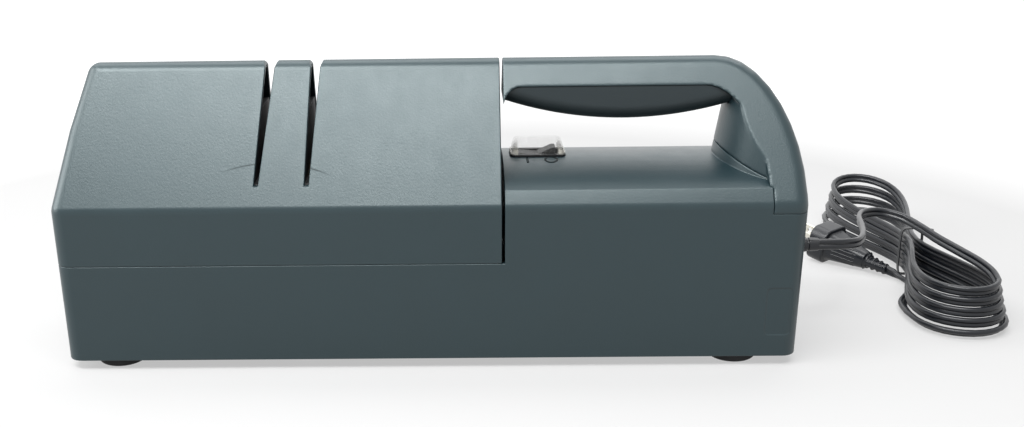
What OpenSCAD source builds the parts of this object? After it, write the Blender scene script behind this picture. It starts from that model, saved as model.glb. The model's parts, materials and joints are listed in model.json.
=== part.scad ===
// Electric knife sharpener: a two-slot sharpening module on a motor base with a carry handle.
// +X runs along the body towards the cord, +Y is the far side, +Z is up from the table.

/* [Body] */
// Length of the body
body_l = 406; // [380:1:430]
// Width of the body at the fold
body_w = 96; // [90:1:104]
// Height of the underside above the table, which is the height of a foot
foot_h = 6; // [5:0.5:9]
// Height of the fold where the walls turn in to the sloping faces
fold_z = 93.8; // [90:0.1:97]
// Height of the ridge
ridge_z = 164.5; // [160:0.1:170]
// Radius of the rounded ridge
crown_r = 7.8; // [7:0.1:8.5]
// How far the ridge stops short of the left end
ridge_inset = 15.2; // [12:0.1:20]
// Wall thickness of the mouldings
wall_t = 3; // [2.5:0.1:3.5]
// Draft of the upright walls
draft = 1; // [0.5:0.1:1.5]
// Radius of the upright corners and of the fold
corner_r = 8; // [7:0.1:9]

/* [Sharpening module] */
// Height of the joint between module and base
parting_z = 61.5; // [60:0.5:63]
// X of the module's right end
module_x = 39.5; // [38:0.1:41]
// Gap between module and base
seam_gap = 1.6; // [1:0.1:2.5]
// X of each slot at its lower end
slot_x = [-91.6, -64.5]; // [-110:0.1:-50]
// How far each slot leans to the right at its top
slot_lean = [6, 3.8]; // [0:0.1:8]
// Height of the lower end of the slots
slot_z = 104.2; // [102:0.1:112]
// Width of a slot at its lower end
slot_low_w = 2.2; // [1.8:0.1:3]
// Width of a slot at the ridge
slot_top_w = 5; // [4:0.1:7]

/* [Grinding discs] */
// Radius of a disc
disc_r = 26; // [22:0.5:28]
// Radius of a disc's flat inner face
disc_nose_r = 18; // [14:0.5:20]
// Angle of the cone face from the blade
disc_angle = 20; // [15:1:25]
// Gap between the two discs of a pair
disc_gap = 1; // [0.6:0.1:2]
// Radius of the disc shaft
shaft_r = 4; // [3.5:0.1:4.5]

/* [Gears] */
// Tooth size, as pitch diameter over number of teeth
gear_module = 1.25; // [1.2:0.05:1.3]
// Teeth on the motor pinion
pinion_teeth = 16; // [14:1:18]
// Teeth on the disc gear
gear_teeth = 30; // [28:1:32]
// Width of the gears
gear_w = 10; // [8:0.5:12]

/* [Motor] */
// Height of the motor shaft
motor_z = 56; // [55:0.5:57]
// Side of the square lamination stack
stator_w = 70; // [62:1:74]
// Length of the lamination stack
stator_l = 34; // [28:1:40]
// Radius of the rotor
rotor_r = 18; // [16:0.5:20]
// Air gap between rotor and stator
air_gap = 0.4; // [0.3:0.1:0.8]

/* [Handle] */
// Height of the handle's lower edge
handle_z = 150.6; // [148:0.1:153]
// Lowest point of the finger grip
grip_z = 131; // [128:0.1:134]
// Radius of the finger grip's curve
grip_curve_r = 205; // [180:5:260]
// Height of the deck under the handle, at its middle
deck_z = 109.2; // [107:0.1:111]
// Radius of the deck's arch from side to side
deck_r = 125; // [110:1:150]
// Height of the joint under the handle's foot
foot_seam_z = 88; // [86:0.5:89]
// Length of the handle's foot
foot_seam_l = 20.4; // [18:0.1:22]

/* [Switch] */
// X of the middle of the switch
switch_x = 61; // [60:0.5:64]
// Middle of the switch behind the ridge's plane
switch_y = 4; // [0:0.5:5]
// Length of the switch frame
switch_l = 31; // [28:0.5:33]
// Width of the switch frame
switch_w = 17; // [16:0.5:20]
// Tilt of the rocker from its middle
rocker_tilt = 10; // [8:1:12]

/* [Power cord] */
// Thickness of the cord
cord_d = 5; // [4:0.1:5.4]
// Height of the cord's exit
exit_z = 54.5; // [50:0.5:58]
// Loops of the tied hank
hank_loops = 4; // [2:1:5]

/* [Hidden] */

shell = [0.21, 0.26, 0.27];
steel = [0.62, 0.63, 0.65];
black = [0.06, 0.06, 0.065];
brass = [0.72, 0.58, 0.33];
copper = [0.62, 0.33, 0.18];
e = 0.01;

half_l = body_l / 2;
half_w = body_w / 2;
base_z = foot_h;
crown_cz = ridge_z - crown_r;
edge_y = half_w - corner_r;
slant = atan(edge_y / (crown_cz - fold_z));
fold_cz = fold_z - corner_r * tan(slant / 2);
draft_in = (fold_z - base_z) * tan(draft);
// How far both ends stand back at the fold, and the left end's swell halfway up its slanted face
fold_in = 0.5;
bulge_x = 15.4;
bulge_z = 128;
// Distance of a sloping side's centre line from the middle at a height
function side_c(z) = edge_y * (crown_cz - z) / (crown_cz - fold_cz);
// Half width inside the sloping sides at a height
function inner_y(z) = side_c(z) + (corner_r - wall_t) / cos(slant);
// Half width and half length inside the upright walls at a height
function wall_y(z) = half_w - (fold_z - z) * tan(draft) - wall_t;
function end_x(z) = half_l - fold_in - (fold_z - z) * (draft_in - fold_in) / (fold_z - base_z);
function wall_x(z) = end_x(z) - wall_t;

// The right end is a quarter of an ellipse, seen from the side
arch_rx = 46;
arch_cz = 95;
arch_cx = half_l - fold_in - arch_rx;
arch_rz = ridge_z - arch_cz;
arch_steps = 9;
function arch_r(a) = corner_r + (crown_r - corner_r) * a / 90;
function arch_n(a) = let (n = [cos(a) / arch_rx, sin(a) / arch_rz]) n / norm(n);
function arch_c(a) = [arch_cx + arch_rx * cos(a), arch_cz + arch_rz * sin(a)] - arch_r(a) * arch_n(a);

module box(lo, hi) {
    translate(lo) cube(hi - lo);
}

module rod(x0, x1, r, y = 0, z = 0, fn = 64) {
    translate([x0, y, z]) rotate([0, 90, 0]) cylinder(r = r, h = x1 - x0, $fn = fn);
}

// A rounded rectangle from true arcs
module round_rect(l, w, r) {
    square([l - 2 * r, w], center = true);
    square([l, w - 2 * r], center = true);
    for (x = [-1, 1], y = [-1, 1]) translate([x * (l / 2 - r), y * (w / 2 - r)]) circle(r, $fn = 48);
}

// Screw with its head at the origin and its shank along +Z
module screw(r, l, head_r, head_h) {
    translate([0, 0, -head_h]) cylinder(r = head_r, h = head_h, $fn = 32);
    cylinder(r = r, h = l, $fn = 24);
}

module at_each(points) {
    for (p = points) translate(p) children();
}

// The whole outer form, set in by an amount
module body_form(in) {
    low_y = half_w - draft_in - corner_r;
    low_x = half_l - draft_in - corner_r;
    low_z = base_z - (in > 0 ? 1 : 0);
    hull() {
        for (x = [-low_x, low_x], y = [-low_y, low_y])
            translate([x, y, low_z]) cylinder(r = corner_r - in, h = e, $fn = 32);
        for (x = [-half_l + fold_in + corner_r, half_l - fold_in - corner_r], y = [-1, 1])
            translate([x, y * edge_y, fold_cz]) sphere(corner_r - in, $fn = 32);
        for (y = [-1, 1]) translate([-half_l + bulge_x, y * side_c(bulge_z), bulge_z]) sphere(corner_r - in, $fn = 32);
        translate([-half_l + ridge_inset + crown_r, 0, crown_cz]) sphere(crown_r - in, $fn = 32);
        for (i = [0 : arch_steps], y = [-1, 1]) {
            a = 90 * i / arch_steps;
            c = arch_c(a);
            translate([c.x, y * side_c(c.y), c.y]) sphere(arch_r(a) - in, $fn = 32);
        }
    }
}

// ---- base ----
base_x = module_x + seam_gap;
bulkhead_t = wall_t;
boss_r = 5;
boss_y = wall_y(base_z) - boss_r - 0.5;
boss_xy = [for (x = [-half_l + 11, -70, 62, half_l - 13], s = [-1, 1]) [x, s * boss_y]];
base_screw_r = 1.7;
plate_t = 2.5;
plate_z = base_z + 1;
plate_top = plate_z + plate_t;
foot_r = 13.7;
foot_y = half_w - draft_in - foot_r - 4.5;
foot_left = -half_l + 28;
foot_right = half_l - 34;
foot_xy = [[foot_left, -foot_y], [foot_right, -foot_y], [foot_left, foot_y], [foot_right, foot_y]];
foot_seam_x = half_l - foot_seam_l;
pedestal_z = 115.5;
pedestal_r = 64;
// The leg's inner face is part of a tilted cylinder
leg_r = 40;
leg_nose_x = half_l - 42.6;
leg_nose_z = 115.4;
leg_tilt = atan(0.16);
handle_screw_xy = [for (s = [-1, 1]) [half_l - 12, s * (half_w - 20)]];
leg_screw_xy = [for (s = [-1, 1]) [half_l - 29, s * 15]];
leg_screw_z = deck_z - wall_t - 0.5;

module leg_cylinder(h = 90) {
    translate([leg_nose_x + leg_r, 0, leg_nose_z]) rotate([0, leg_tilt, 0])
        cylinder(r = leg_r, h = h, center = true, $fn = 120);
}

// Everything under the arched deck, set in by an amount
module deck_block(x0, x1, in = 0) {
    intersection() {
        rod(x0, x1, deck_r - in, 0, deck_z - deck_r, 180);
        box([x0, -half_w, base_z - 2], [x1, half_w, deck_z]);
    }
}

module leg_joint(x1) {
    intersection() {
        rod(base_x, x1, pedestal_r, 0, pedestal_z - pedestal_r, 120);
        box([base_x, -half_w, foot_seam_z], [x1, half_w, pedestal_z]);
    }
}

module leg_pedestal() {
    intersection() {
        leg_cylinder();
        leg_joint(foot_seam_x);
    }
}

switch_cut_l = 27;
switch_cut_w = 14;
pad_z = deck_z - 0.7;
exit_r = 5.5;
exit_x = end_x(exit_z);
exit_pad_t = 1.2;

module base_housing() {
    color(shell) difference() {
        intersection() {
            body_form(0);
            union() {
                box([-half_l - 1, -half_w - 1, base_z - 1], [base_x, half_w + 1, parting_z]);
                deck_block(base_x, foot_seam_x);
                box([base_x, -half_w - 1, base_z - 1], [half_l + 1, half_w + 1, foot_seam_z]);
                leg_pedestal();
            }
        }
        difference() {
            intersection() {
                body_form(wall_t);
                union() {
                    box([-half_l, -half_w, base_z - 2], [base_x, half_w, parting_z + 1]);
                    deck_block(base_x + bulkhead_t, foot_seam_x - wall_t, wall_t);
                    box([base_x + bulkhead_t, -half_w, base_z - 2], [half_l, half_w, foot_seam_z - wall_t]);
                    box([-half_l, -half_w, base_z - 2], [half_l, half_w, plate_top]);
                }
            }
            at_each(boss_xy) translate([0, 0, plate_top]) cylinder(r = boss_r, h = 20, $fn = 48);
            for (p = boss_xy) {
                edge = sign(p.y) * half_w;
                box([p.x - 1.5, min(p.y, edge), plate_top], [p.x + 1.5, max(p.y, edge), plate_top + 18]);
            }
        }
        at_each(boss_xy) translate([0, 0, plate_top - 1]) cylinder(r = base_screw_r - 0.2, h = 15, $fn = 24);
        // Shaft hole in the bulkhead
        rod(base_x - 1, base_x + bulkhead_t + 1, shaft_r + 4, 0, motor_z);
        // Switch opening with its flat seat
        translate([0, switch_y, 0]) {
            box([switch_x - switch_cut_l / 2, -switch_cut_w / 2, deck_z - 6], [switch_x + switch_cut_l / 2, switch_cut_w / 2, deck_z + 1]);
            translate([switch_x, 0, pad_z]) linear_extrude(2) round_rect(switch_l, switch_w, 3);
        }
        // Cord exit with a flat seat for the strain relief
        rod(exit_x - 10, exit_x + 2, exit_r, 0, exit_z);
        rod(exit_x - exit_pad_t, exit_x + 2, 8, 0, exit_z);
        // Screw holes into the handle
        at_each(handle_screw_xy) translate([0, 0, foot_seam_z - wall_t - 1]) cylinder(r = 1.6, h = 6, $fn = 32);
        at_each(leg_screw_xy) translate([0, 0, leg_screw_z - 4]) cylinder(r = 1.6, h = 30, $fn = 32);
        at_each(leg_screw_xy) translate([0, 0, leg_screw_z - 8]) cylinder(r = 4, h = 8, $fn = 32);
    }
}

plate_gap = 0.4;
module bottom_plate() {
    plate_l = 2 * (wall_x(plate_z) - plate_gap);
    plate_w = 2 * (wall_y(plate_z) - plate_gap);
    color(shell) difference() {
        union() {
            translate([0, 0, plate_z]) linear_extrude(plate_t) round_rect(plate_l, plate_w, corner_r - wall_t);
            // Saddles that carry the motor brackets
            for (x = [front_bracket_x, rear_bracket_x])
                box([x - 1, -24, plate_z + 1], [x + bracket_t + 1, 24, motor_z - stator_w / 2]);
            // Post of the lead clamp
            box([clamp_x - 4, -11, plate_z + 1], [clamp_x + 4, 11, clamp_z]);
        }
        at_each(boss_xy) {
            translate([0, 0, plate_z - 1]) cylinder(r = base_screw_r + 0.3, h = plate_t + 2, $fn = 24);
            translate([0, 0, plate_z - 1]) cylinder(r = 3.4, h = 2.2, $fn = 32);
        }
        at_each(foot_xy) translate([0, 0, plate_z - 1]) cylinder(r = 1.6, h = plate_t + 2, $fn = 24);
        for (x = [front_bracket_x, rear_bracket_x], y = [-18, 18])
            translate([x + bracket_t / 2, y, plate_z - 1]) cylinder(r = 1.6, h = 30, $fn = 24);
        // Cooling slots under the motor
        for (i = [-2 : 2]) translate([motor_x + 12 * i, 0, plate_z - 1]) linear_extrude(plate_t + 2)
            round_rect(3, 34, 1.4);
    }
}

module rubber_foot(i) {
    p = foot_xy[i];
    lip_r = 2;
    color(black) translate([p.x, p.y, 0]) difference() {
        union() {
            rotate_extrude($fn = 96) {
                square([foot_r - lip_r, lip_r + 1]);
                translate([0, lip_r]) square([foot_r, plate_z - lip_r]);
                translate([foot_r - lip_r, lip_r]) circle(lip_r, $fn = 32);
            }
        }
        translate([0, 0, -1]) cylinder(r = 5, h = 4, $fn = 48);
        translate([0, 0, -1]) cylinder(r = 1.9, h = foot_h + 5, $fn = 32);
    }
}

module foot_front_left() { rubber_foot(0); }
module foot_front_right() { rubber_foot(1); }
module foot_rear_left() { rubber_foot(2); }
module foot_rear_right() { rubber_foot(3); }

module foot_screws() {
    color(steel) at_each(foot_xy) translate([0, 0, 3]) screw(1.6, plate_top - 3 + 4, 4, 1.6);
}

module base_screws() {
    color(steel) at_each(boss_xy) translate([0, 0, plate_z + 1.2]) screw(base_screw_r - 0.2, 14, 3.2, 1.2);
}

// ---- sharpening module ----
gear_gap = 0.1;
centre_d = gear_module * (pinion_teeth + gear_teeth) / 2 + gear_gap;
disc_z = motor_z + centre_d;
slot_end_z = ridge_z + 6;
slot_flare_z = ridge_z - 3;
slot_flare = 1.2;

// A slot seen from the front; grow widens it on each side
module slot_shape(i, grow = 0) {
    rise = (slot_flare_z - slot_z) / (ridge_z - slot_z);
    x0 = slot_x[i];
    x1 = slot_x[i] + slot_lean[i] * rise;
    x2 = slot_x[i] + slot_lean[i] * (slot_end_z - slot_z) / (ridge_z - slot_z);
    w0 = slot_low_w / 2 + grow;
    w1 = (slot_low_w + (slot_top_w - slot_low_w) * rise) / 2 + grow;
    w2 = w1 + slot_flare * (slot_end_z - slot_flare_z) / 3;
    polygon([[x0 - w0, slot_z], [x0 + w0, slot_z], [x1 + w1, slot_flare_z], [x2 + w2, slot_end_z],
        [x2 - w2, slot_end_z], [x1 - w1, slot_flare_z]]);
}

module slot_cuts(grow = 0) {
    for (i = [0, 1]) translate([0, half_w + 5, 0]) rotate([90, 0, 0])
        linear_extrude(body_w + 10) slot_shape(i, grow);
}

module module_cover() {
    color(shell) difference() {
        intersection() {
            body_form(0);
            box([-half_l - 1, -half_w - 1, parting_z], [module_x, half_w + 1, ridge_z + 1]);
        }
        difference() {
            intersection() {
                body_form(wall_t);
                box([-half_l, -half_w, parting_z - 1], [module_x - wall_t, half_w, ridge_z]);
            }
            // Screw bosses with ribs to the side walls
            at_each(tray_screw_xy) translate([0, 0, tray_top]) cylinder(r = 4.5, h = 14, $fn = 32);
            for (p = tray_screw_xy) {
                edge = sign(p.y) * half_w;
                box([p.x - 1.5, min(p.y, edge), tray_top], [p.x + 1.5, max(p.y, edge), tray_top + 12]);
            }
        }
        slot_cuts();
        at_each(tray_screw_xy) translate([0, 0, tray_top - 1]) cylinder(r = 1.5, h = 12, $fn = 24);
    }
}

tray_t = 2.5;
tray_gap = 0.3;
tray_x0 = -wall_x(parting_z) + tray_gap;
tray_x1 = module_x - wall_t - tray_gap;
tray_w = 2 * (wall_y(parting_z) - tray_gap);
tray_top = parting_z + tray_t;
skirt_d = 5;
upright_t = 6;
bush_r = 8;
bush_l = 9;
left_upright_x = -124;
right_upright_x = 2;
gear_x = 18;
guide_low_z = slot_z - 5;
guide_top_z = 141;
guide_x0 = slot_x[0] - 16;
guide_x1 = slot_x[1] + 20;
guide_clear = 2;
guide_low_y = inner_y(guide_low_z) - guide_clear;
guide_top_y = inner_y(guide_top_z) - guide_clear;
guide_post_xy = [for (x = [guide_x0 + 3, guide_x1 - 3], s = [-1, 1]) [x, s * (guide_low_y - 5)]];
tray_screw_xy = [for (x = [tray_x0 + 10, tray_x1 - 6], s = [-1, 1]) [x, s * (tray_w / 2 - 8)]];

// A plate in the tray's outline, set in by an amount
module tray_slab(in, z0, z1) {
    translate([(tray_x0 + tray_x1) / 2, 0, z0]) linear_extrude(z1 - z0)
        round_rect(tray_x1 - tray_x0 - 2 * in, tray_w - 2 * in, corner_r - wall_t + tray_gap - in);
}

module module_tray() {
    color(shell * 0.8) difference() {
        union() {
            tray_slab(0, parting_z, tray_top);
            // Skirt that locates the module in the base
            difference() {
                tray_slab(1, parting_z - skirt_d, parting_z + 1);
                tray_slab(3, parting_z - skirt_d - 1, parting_z);
            }
            for (x = [left_upright_x, right_upright_x]) {
                box([x, -16, parting_z + 1], [x + upright_t, 16, disc_z]);
                rod(x, x + upright_t, 16, 0, disc_z);
            }
            for (p = guide_post_xy) box([p.x - 3, p.y - 3, parting_z + 1], [p.x + 3, p.y + 3, guide_low_z]);
        }
        for (x = [left_upright_x, right_upright_x]) rod(x - 1, x + upright_t + 1, bush_r, 0, disc_z);
        // Windows for the pinion, for the motor's shaft and for the lower rims of the discs
        box([gear_x, -shaft_r - 2, parting_z - skirt_d - 2], [module_x, shaft_r + 2, parting_z - 0.4]);
        box([gear_x - 3, -15, parting_z - skirt_d - 2], [gear_x + gear_w + 3, 15, tray_top + 1]);
        box([slot_x[0] - disc_back - 1, -20, parting_z - 1], [slot_x[1] + disc_back + 1, 20, tray_top + 1]);
        at_each(tray_screw_xy) translate([0, 0, parting_z - 1]) cylinder(r = 1.5, h = 12, $fn = 24);
    }
}

module knife_guide() {
    color(black) difference() {
        translate([guide_x0, 0, 0]) rotate([90, 0, 90]) linear_extrude(guide_x1 - guide_x0)
            polygon([[-guide_low_y, guide_low_z], [guide_low_y, guide_low_z], [guide_top_y, guide_top_z], [-guide_top_y, guide_top_z]]);
        slot_cuts(0.4);
        // Room for the discs
        rod(guide_x0 - 1, guide_x1 + 1, disc_r + 1.5, 0, disc_z, 96);
    }
}

module tray_screws() {
    color(steel) at_each(tray_screw_xy) translate([0, 0, parting_z]) screw(1.5, 10, 3, 1.4);
}

module shaft_bush(x) {
    color(brass) difference() {
        union() {
            rod(x, x + bush_l, bush_r, 0, disc_z);
            rod(x + upright_t, x + bush_l, bush_r + 2, 0, disc_z);
        }
        rod(x - 1, x + bush_l + 1, shaft_r + 0.05, 0, disc_z);
    }
}

module left_shaft_bush() { shaft_bush(left_upright_x); }
module right_shaft_bush() { shaft_bush(right_upright_x); }

shaft_x0 = left_upright_x - 3;
shaft_x1 = gear_x + gear_w + 4;
module disc_shaft() {
    color(steel) rod(shaft_x0, shaft_x1, shaft_r, 0, disc_z);
}

// Involute gear outline, with a tooth on +X
pressure = 20;
function involute(r, t) = r * [cos(t) + t * PI / 180 * sin(t), sin(t) - t * PI / 180 * cos(t)];
function roll_at(rb, r) = sqrt(max(0, r * r / (rb * rb) - 1)) * 180 / PI;
function turn(p, a) = [p.x * cos(a) - p.y * sin(a), p.x * sin(a) + p.y * cos(a)];
module gear_outline(teeth, backlash = 0.16) {
    rp = gear_module * teeth / 2;
    rb = rp * cos(pressure);
    ra = rp + 0.95 * gear_module;
    rf = rp - 1.25 * gear_module;
    steps = 4;
    half = 90 / teeth - backlash / rp * 90 / PI + tan(pressure) * 180 / PI - pressure;
    r0 = max(rb, rf);
    flank = [for (i = [0 : steps]) turn(involute(rb, roll_at(rb, r0 + (ra - r0) * i / steps)), -half)];
    mirror_flank = [for (i = [steps : -1 : 0]) [flank[i].x, -flank[i].y]];
    root = [turn([rf, 0], -half - 1.2), turn([rf, 0], half + 1.2)];
    polygon([for (k = [0 : teeth - 1]) each [for (p = concat([root[0]], flank, mirror_flank, [root[1]])) turn(p, 360 * k / teeth)]]);
}

// A gear along X at a height, turned so that the pair meshes
module gear_solid(teeth, z, phase, x0) {
    translate([x0, 0, z]) rotate([0, 90, 0]) rotate([0, 0, phase]) linear_extrude(gear_w) gear_outline(teeth);
}

hub_l = 5;
module drive_gear() {
    color([0.86, 0.85, 0.8]) difference() {
        union() {
            // A gap of this gear stands over a tooth of the pinion
            gear_solid(gear_teeth, disc_z, 180 / gear_teeth, gear_x);
            rod(gear_x - hub_l, gear_x, 8, 0, disc_z);
        }
        rod(gear_x - hub_l - 1, gear_x + gear_w + 1, shaft_r, 0, disc_z);
    }
}

cone_t = (disc_r - disc_nose_r) * tan(disc_angle);
disc_t = cone_t + 3;
disc_hub_l = 4;
// A grinding disc whose cone faces +X for side 1 and -X for side -1, beside the blade at x
module grinding_disc(x, side, tone) {
    color(tone) translate([x - side * disc_gap / 2, 0, disc_z]) rotate([0, -side * 90, 0]) rotate_extrude($fn = 96)
        polygon([[shaft_r, 0], [disc_nose_r, 0], [disc_r, cone_t], [disc_r, disc_t], [9, disc_t],
            [9, disc_t + disc_hub_l], [shaft_r, disc_t + disc_hub_l]]);
}

coarse_tone = [0.55, 0.54, 0.5];
fine_tone = [0.66, 0.62, 0.52];
module coarse_disc_left() { grinding_disc(slot_x[0], 1, coarse_tone); }
module coarse_disc_right() { grinding_disc(slot_x[0], -1, coarse_tone); }
module fine_disc_left() { grinding_disc(slot_x[1], 1, fine_tone); }
module fine_disc_right() { grinding_disc(slot_x[1], -1, fine_tone); }

disc_back = disc_gap / 2 + disc_t + disc_hub_l;
module disc_spacer() {
    color(steel) difference() {
        rod(slot_x[0] + disc_back, slot_x[1] - disc_back, 7, 0, disc_z);
        rod(slot_x[0], slot_x[1], shaft_r, 0, disc_z);
    }
}

collar_w = 7;
collar_x = [slot_x[0] - disc_back - collar_w, slot_x[1] + disc_back];
module shaft_collars() {
    color(steel) for (x = collar_x) difference() {
        rod(x, x + collar_w, 9, 0, disc_z);
        rod(x - 1, x + collar_w + 1, shaft_r, 0, disc_z);
        translate([x + collar_w / 2, 0, disc_z + 5]) cylinder(r = 1.5, h = 6, $fn = 24);
    }
}

// ---- handle ----
opening_rx = 31;
opening_rz = 50.6;
opening_cx = 150;
opening_cz = handle_z - opening_rz;
corner_rx = 10.1;
corner_rz = 11.1;
grip_mid_x = 107.8;
// Side view of the finger opening's upper half
module opening_shape() {
    polygon(concat(
        [[base_x - 1, foot_seam_z - 5], [opening_cx + opening_rx, foot_seam_z - 5]],
        [for (a = [0 : 7.5 : 90]) [opening_cx + opening_rx * cos(a), opening_cz + opening_rz * sin(a)]],
        [for (a = [90 : 15 : 180]) [base_x + corner_rx + corner_rx * cos(a), handle_z - corner_rz + corner_rz * sin(a)]],
        [[base_x - 1, handle_z - corner_rz]]));
}

module opening_prism() {
    translate([0, half_w + 5, 0]) rotate([90, 0, 0]) linear_extrude(body_w + 10) opening_shape();
}

module handle() {
    color(shell) difference() {
        intersection() {
            body_form(0);
            box([base_x, -half_w - 1, foot_seam_z], [half_l + 1, half_w + 1, ridge_z + 1]);
        }
        difference() {
            opening_prism();
            leg_cylinder(110);
        }
        deck_block(base_x, foot_seam_x);
        leg_joint(foot_seam_x);
        at_each(handle_screw_xy) translate([0, 0, foot_seam_z - 1]) cylinder(r = 1.6, h = 14, $fn = 24);
        at_each(leg_screw_xy) translate([0, 0, deck_z]) cylinder(r = 1.6, h = 22, $fn = 24);
    }
}

grip_half_w = 12;
grip_edge_r = 9;
module finger_grip() {
    color(shell * 0.75) difference() {
        intersection() {
            translate([grip_mid_x, 0, grip_z + grip_curve_r]) rotate([90, 0, 0])
                rotate_extrude(angle = 44, start = 248, $fn = 180) {
                    translate([grip_curve_r - 40, -grip_half_w]) square([40 - grip_edge_r, 2 * grip_half_w]);
                    translate([grip_curve_r - grip_edge_r - 1, -grip_half_w + grip_edge_r])
                        square([grip_edge_r + 1, 2 * (grip_half_w - grip_edge_r)]);
                    for (s = [-1, 1]) translate([grip_curve_r - grip_edge_r, s * (grip_half_w - grip_edge_r)])
                        circle(grip_edge_r, $fn = 64);
                }
            opening_prism();
            box([base_x, -half_w, deck_z], [opening_cx + opening_rx, half_w, handle_z]);
        }
        leg_cylinder(110);
    }
}

module handle_screws() {
    color(steel) {
        at_each(handle_screw_xy) translate([0, 0, foot_seam_z - wall_t]) screw(1.6, 14, 3.6, 2);
        at_each(leg_screw_xy) translate([0, 0, leg_screw_z]) screw(1.6, 24, 3.6, 2);
    }
}

// ---- motor ----
motor_x = 122;
stator_x0 = motor_x - stator_l / 2;
stator_x1 = motor_x + stator_l / 2;
bracket_t = 4;
bracket_gap = 14;
front_bracket_x = stator_x0 - bracket_gap - bracket_t;
rear_bracket_x = stator_x1 + bracket_gap;
yoke_r = 29;
pole_w = 14;
bolt_yz = [for (y = [-1, 1], z = [-1, 1]) [y, z] * (stator_w / 2 - 6)];
bearing_r = 9;
bearing_l = 8;

module stator_sheet() {
    difference() {
        union() {
            difference() {
                round_rect(stator_w, stator_w, 5);
                circle(yoke_r, $fn = 96);
            }
            intersection() {
                union() {
                    square([2 * yoke_r + 2, pole_w], center = true);
                    square([pole_w, 2 * yoke_r + 2], center = true);
                }
                circle(yoke_r + 1, $fn = 96);
            }
        }
        circle(rotor_r + air_gap, $fn = 96);
        at_each(bolt_yz) circle(2.2, $fn = 24);
    }
}

module motor_stator() {
    color([0.45, 0.46, 0.48]) translate([stator_x0, 0, motor_z]) rotate([0, 90, 0]) linear_extrude(stator_l) stator_sheet();
}

coil_t = 4.5;
coil_gap = 0.3;
coil_end_x = stator_x0 - coil_gap - coil_t;
coil_out_y = rotor_r + 8;
module field_coils() {
    reach = stator_l / 2 + coil_gap;
    color(copper) for (a = [0 : 90 : 270]) translate([motor_x, 0, motor_z]) rotate([a, 0, 0])
        translate([0, 0, rotor_r + 2]) difference() {
            box([-reach - coil_t, -pole_w / 2 - coil_t, 0], [reach + coil_t, pole_w / 2 + coil_t, 6]);
            box([-reach, -pole_w / 2 - coil_gap, -1], [reach, pole_w / 2 + coil_gap, 7]);
        }
}

// A bracket plate from x, with pillars that reach the stator at x_face
module bracket(x, pillar_x0, pillar_x1, hub_x0) {
    color([0.7, 0.71, 0.72]) difference() {
        union() {
            translate([x, 0, motor_z]) rotate([0, 90, 0]) linear_extrude(bracket_t) difference() {
                round_rect(stator_w, stator_w, 5);
                for (a = [45 : 90 : 315]) rotate(a) translate([19, 0]) circle(5, $fn = 32);
            }
            for (p = bolt_yz) rod(pillar_x0, pillar_x1, 5, p.y, motor_z + p.x);
            rod(hub_x0, hub_x0 + bearing_l, bearing_r + 3, 0, motor_z);
        }
        rod(hub_x0 - 20, hub_x0 + 20, bearing_r, 0, motor_z);
        for (p = bolt_yz) rod(x - 20, x + 30, 2.2, p.y, motor_z + p.x);
        for (y = [-18, 18]) translate([x + bracket_t / 2, y, motor_z - stator_w / 2 - 1]) cylinder(r = 1.4, h = 9, $fn = 24);
    }
}

module front_bracket() { bracket(front_bracket_x, front_bracket_x, stator_x0, front_bracket_x); }
module rear_bracket() { bracket(rear_bracket_x, stator_x1, rear_bracket_x + bracket_t, rear_bracket_x + bracket_t - bearing_l); }

module motor_bearing(x) {
    color(brass) difference() {
        rod(x, x + bearing_l, bearing_r, 0, motor_z);
        rod(x - 1, x + bearing_l + 1, shaft_r + 0.05, 0, motor_z);
    }
}

module front_bearing() { motor_bearing(front_bracket_x); }
module rear_bearing() { motor_bearing(rear_bracket_x + bracket_t - bearing_l); }

bolt_head_t = 2.5;
module motor_bolts() {
    color(steel) for (p = bolt_yz) {
        rod(front_bracket_x, rear_bracket_x + bracket_t, 2, p.y, motor_z + p.x);
        rod(front_bracket_x - bolt_head_t, front_bracket_x, 3.8, p.y, motor_z + p.x);
    }
}

module motor_screws() {
    color(steel) for (x = [front_bracket_x, rear_bracket_x], y = [-18, 18])
        translate([x + bracket_t / 2, y, plate_z]) screw(1.4, motor_z - stator_w / 2 - plate_z + 7, 3, 1);
}

module motor_rotor() {
    color([0.5, 0.5, 0.52]) difference() {
        rod(motor_x - stator_l / 2 - 1, motor_x + stator_l / 2 + 1, rotor_r, 0, motor_z);
        rod(stator_x0 - 9, stator_x1 + 9, shaft_r, 0, motor_z);
    }
}

fan_x = rear_bracket_x + bracket_t + 4;
fan_w = 12;
fan_r = 27;
fan_blades = 9;
module motor_shaft() {
    color(steel) rod(gear_x - 2, fan_x + fan_w + 2, shaft_r, 0, motor_z);
}

module motor_pinion() {
    color([0.86, 0.85, 0.8]) difference() {
        // A tooth stands upright, in a gap of the disc gear
        gear_solid(pinion_teeth, motor_z, 0, gear_x);
        rod(gear_x - 1, gear_x + gear_w + 1, shaft_r, 0, motor_z);
    }
}

module cooling_fan() {
    color(black) difference() {
        union() {
            rod(fan_x, fan_x + fan_w, 8, 0, motor_z);
            rod(fan_x, fan_x + 1.5, fan_r, 0, motor_z);
            for (i = [0 : fan_blades - 1]) translate([fan_x + 1, 0, motor_z]) rotate([360 * (i + 0.4) / fan_blades, 0, 0])
                box([0, -0.8, 7], [fan_w - 2, 0.8, fan_r - 1]);
        }
        rod(fan_x - 1, fan_x + fan_w + 1, shaft_r, 0, motor_z);
    }
}

// ---- switch ----
frame_t = 1.8;
frame_top = pad_z + frame_t;
pivot_z = pad_z - 1.5;
rocker_l = 22;
rocker_w = 9.6;
rocker_clear = 0.5;
pivot_r = 1.5;
well_l = rocker_l + 2.4;
well_w = rocker_w + 2 * rocker_clear;
body_depth = 17;
boot_t = 0.9;
boot_h = 8;

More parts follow.
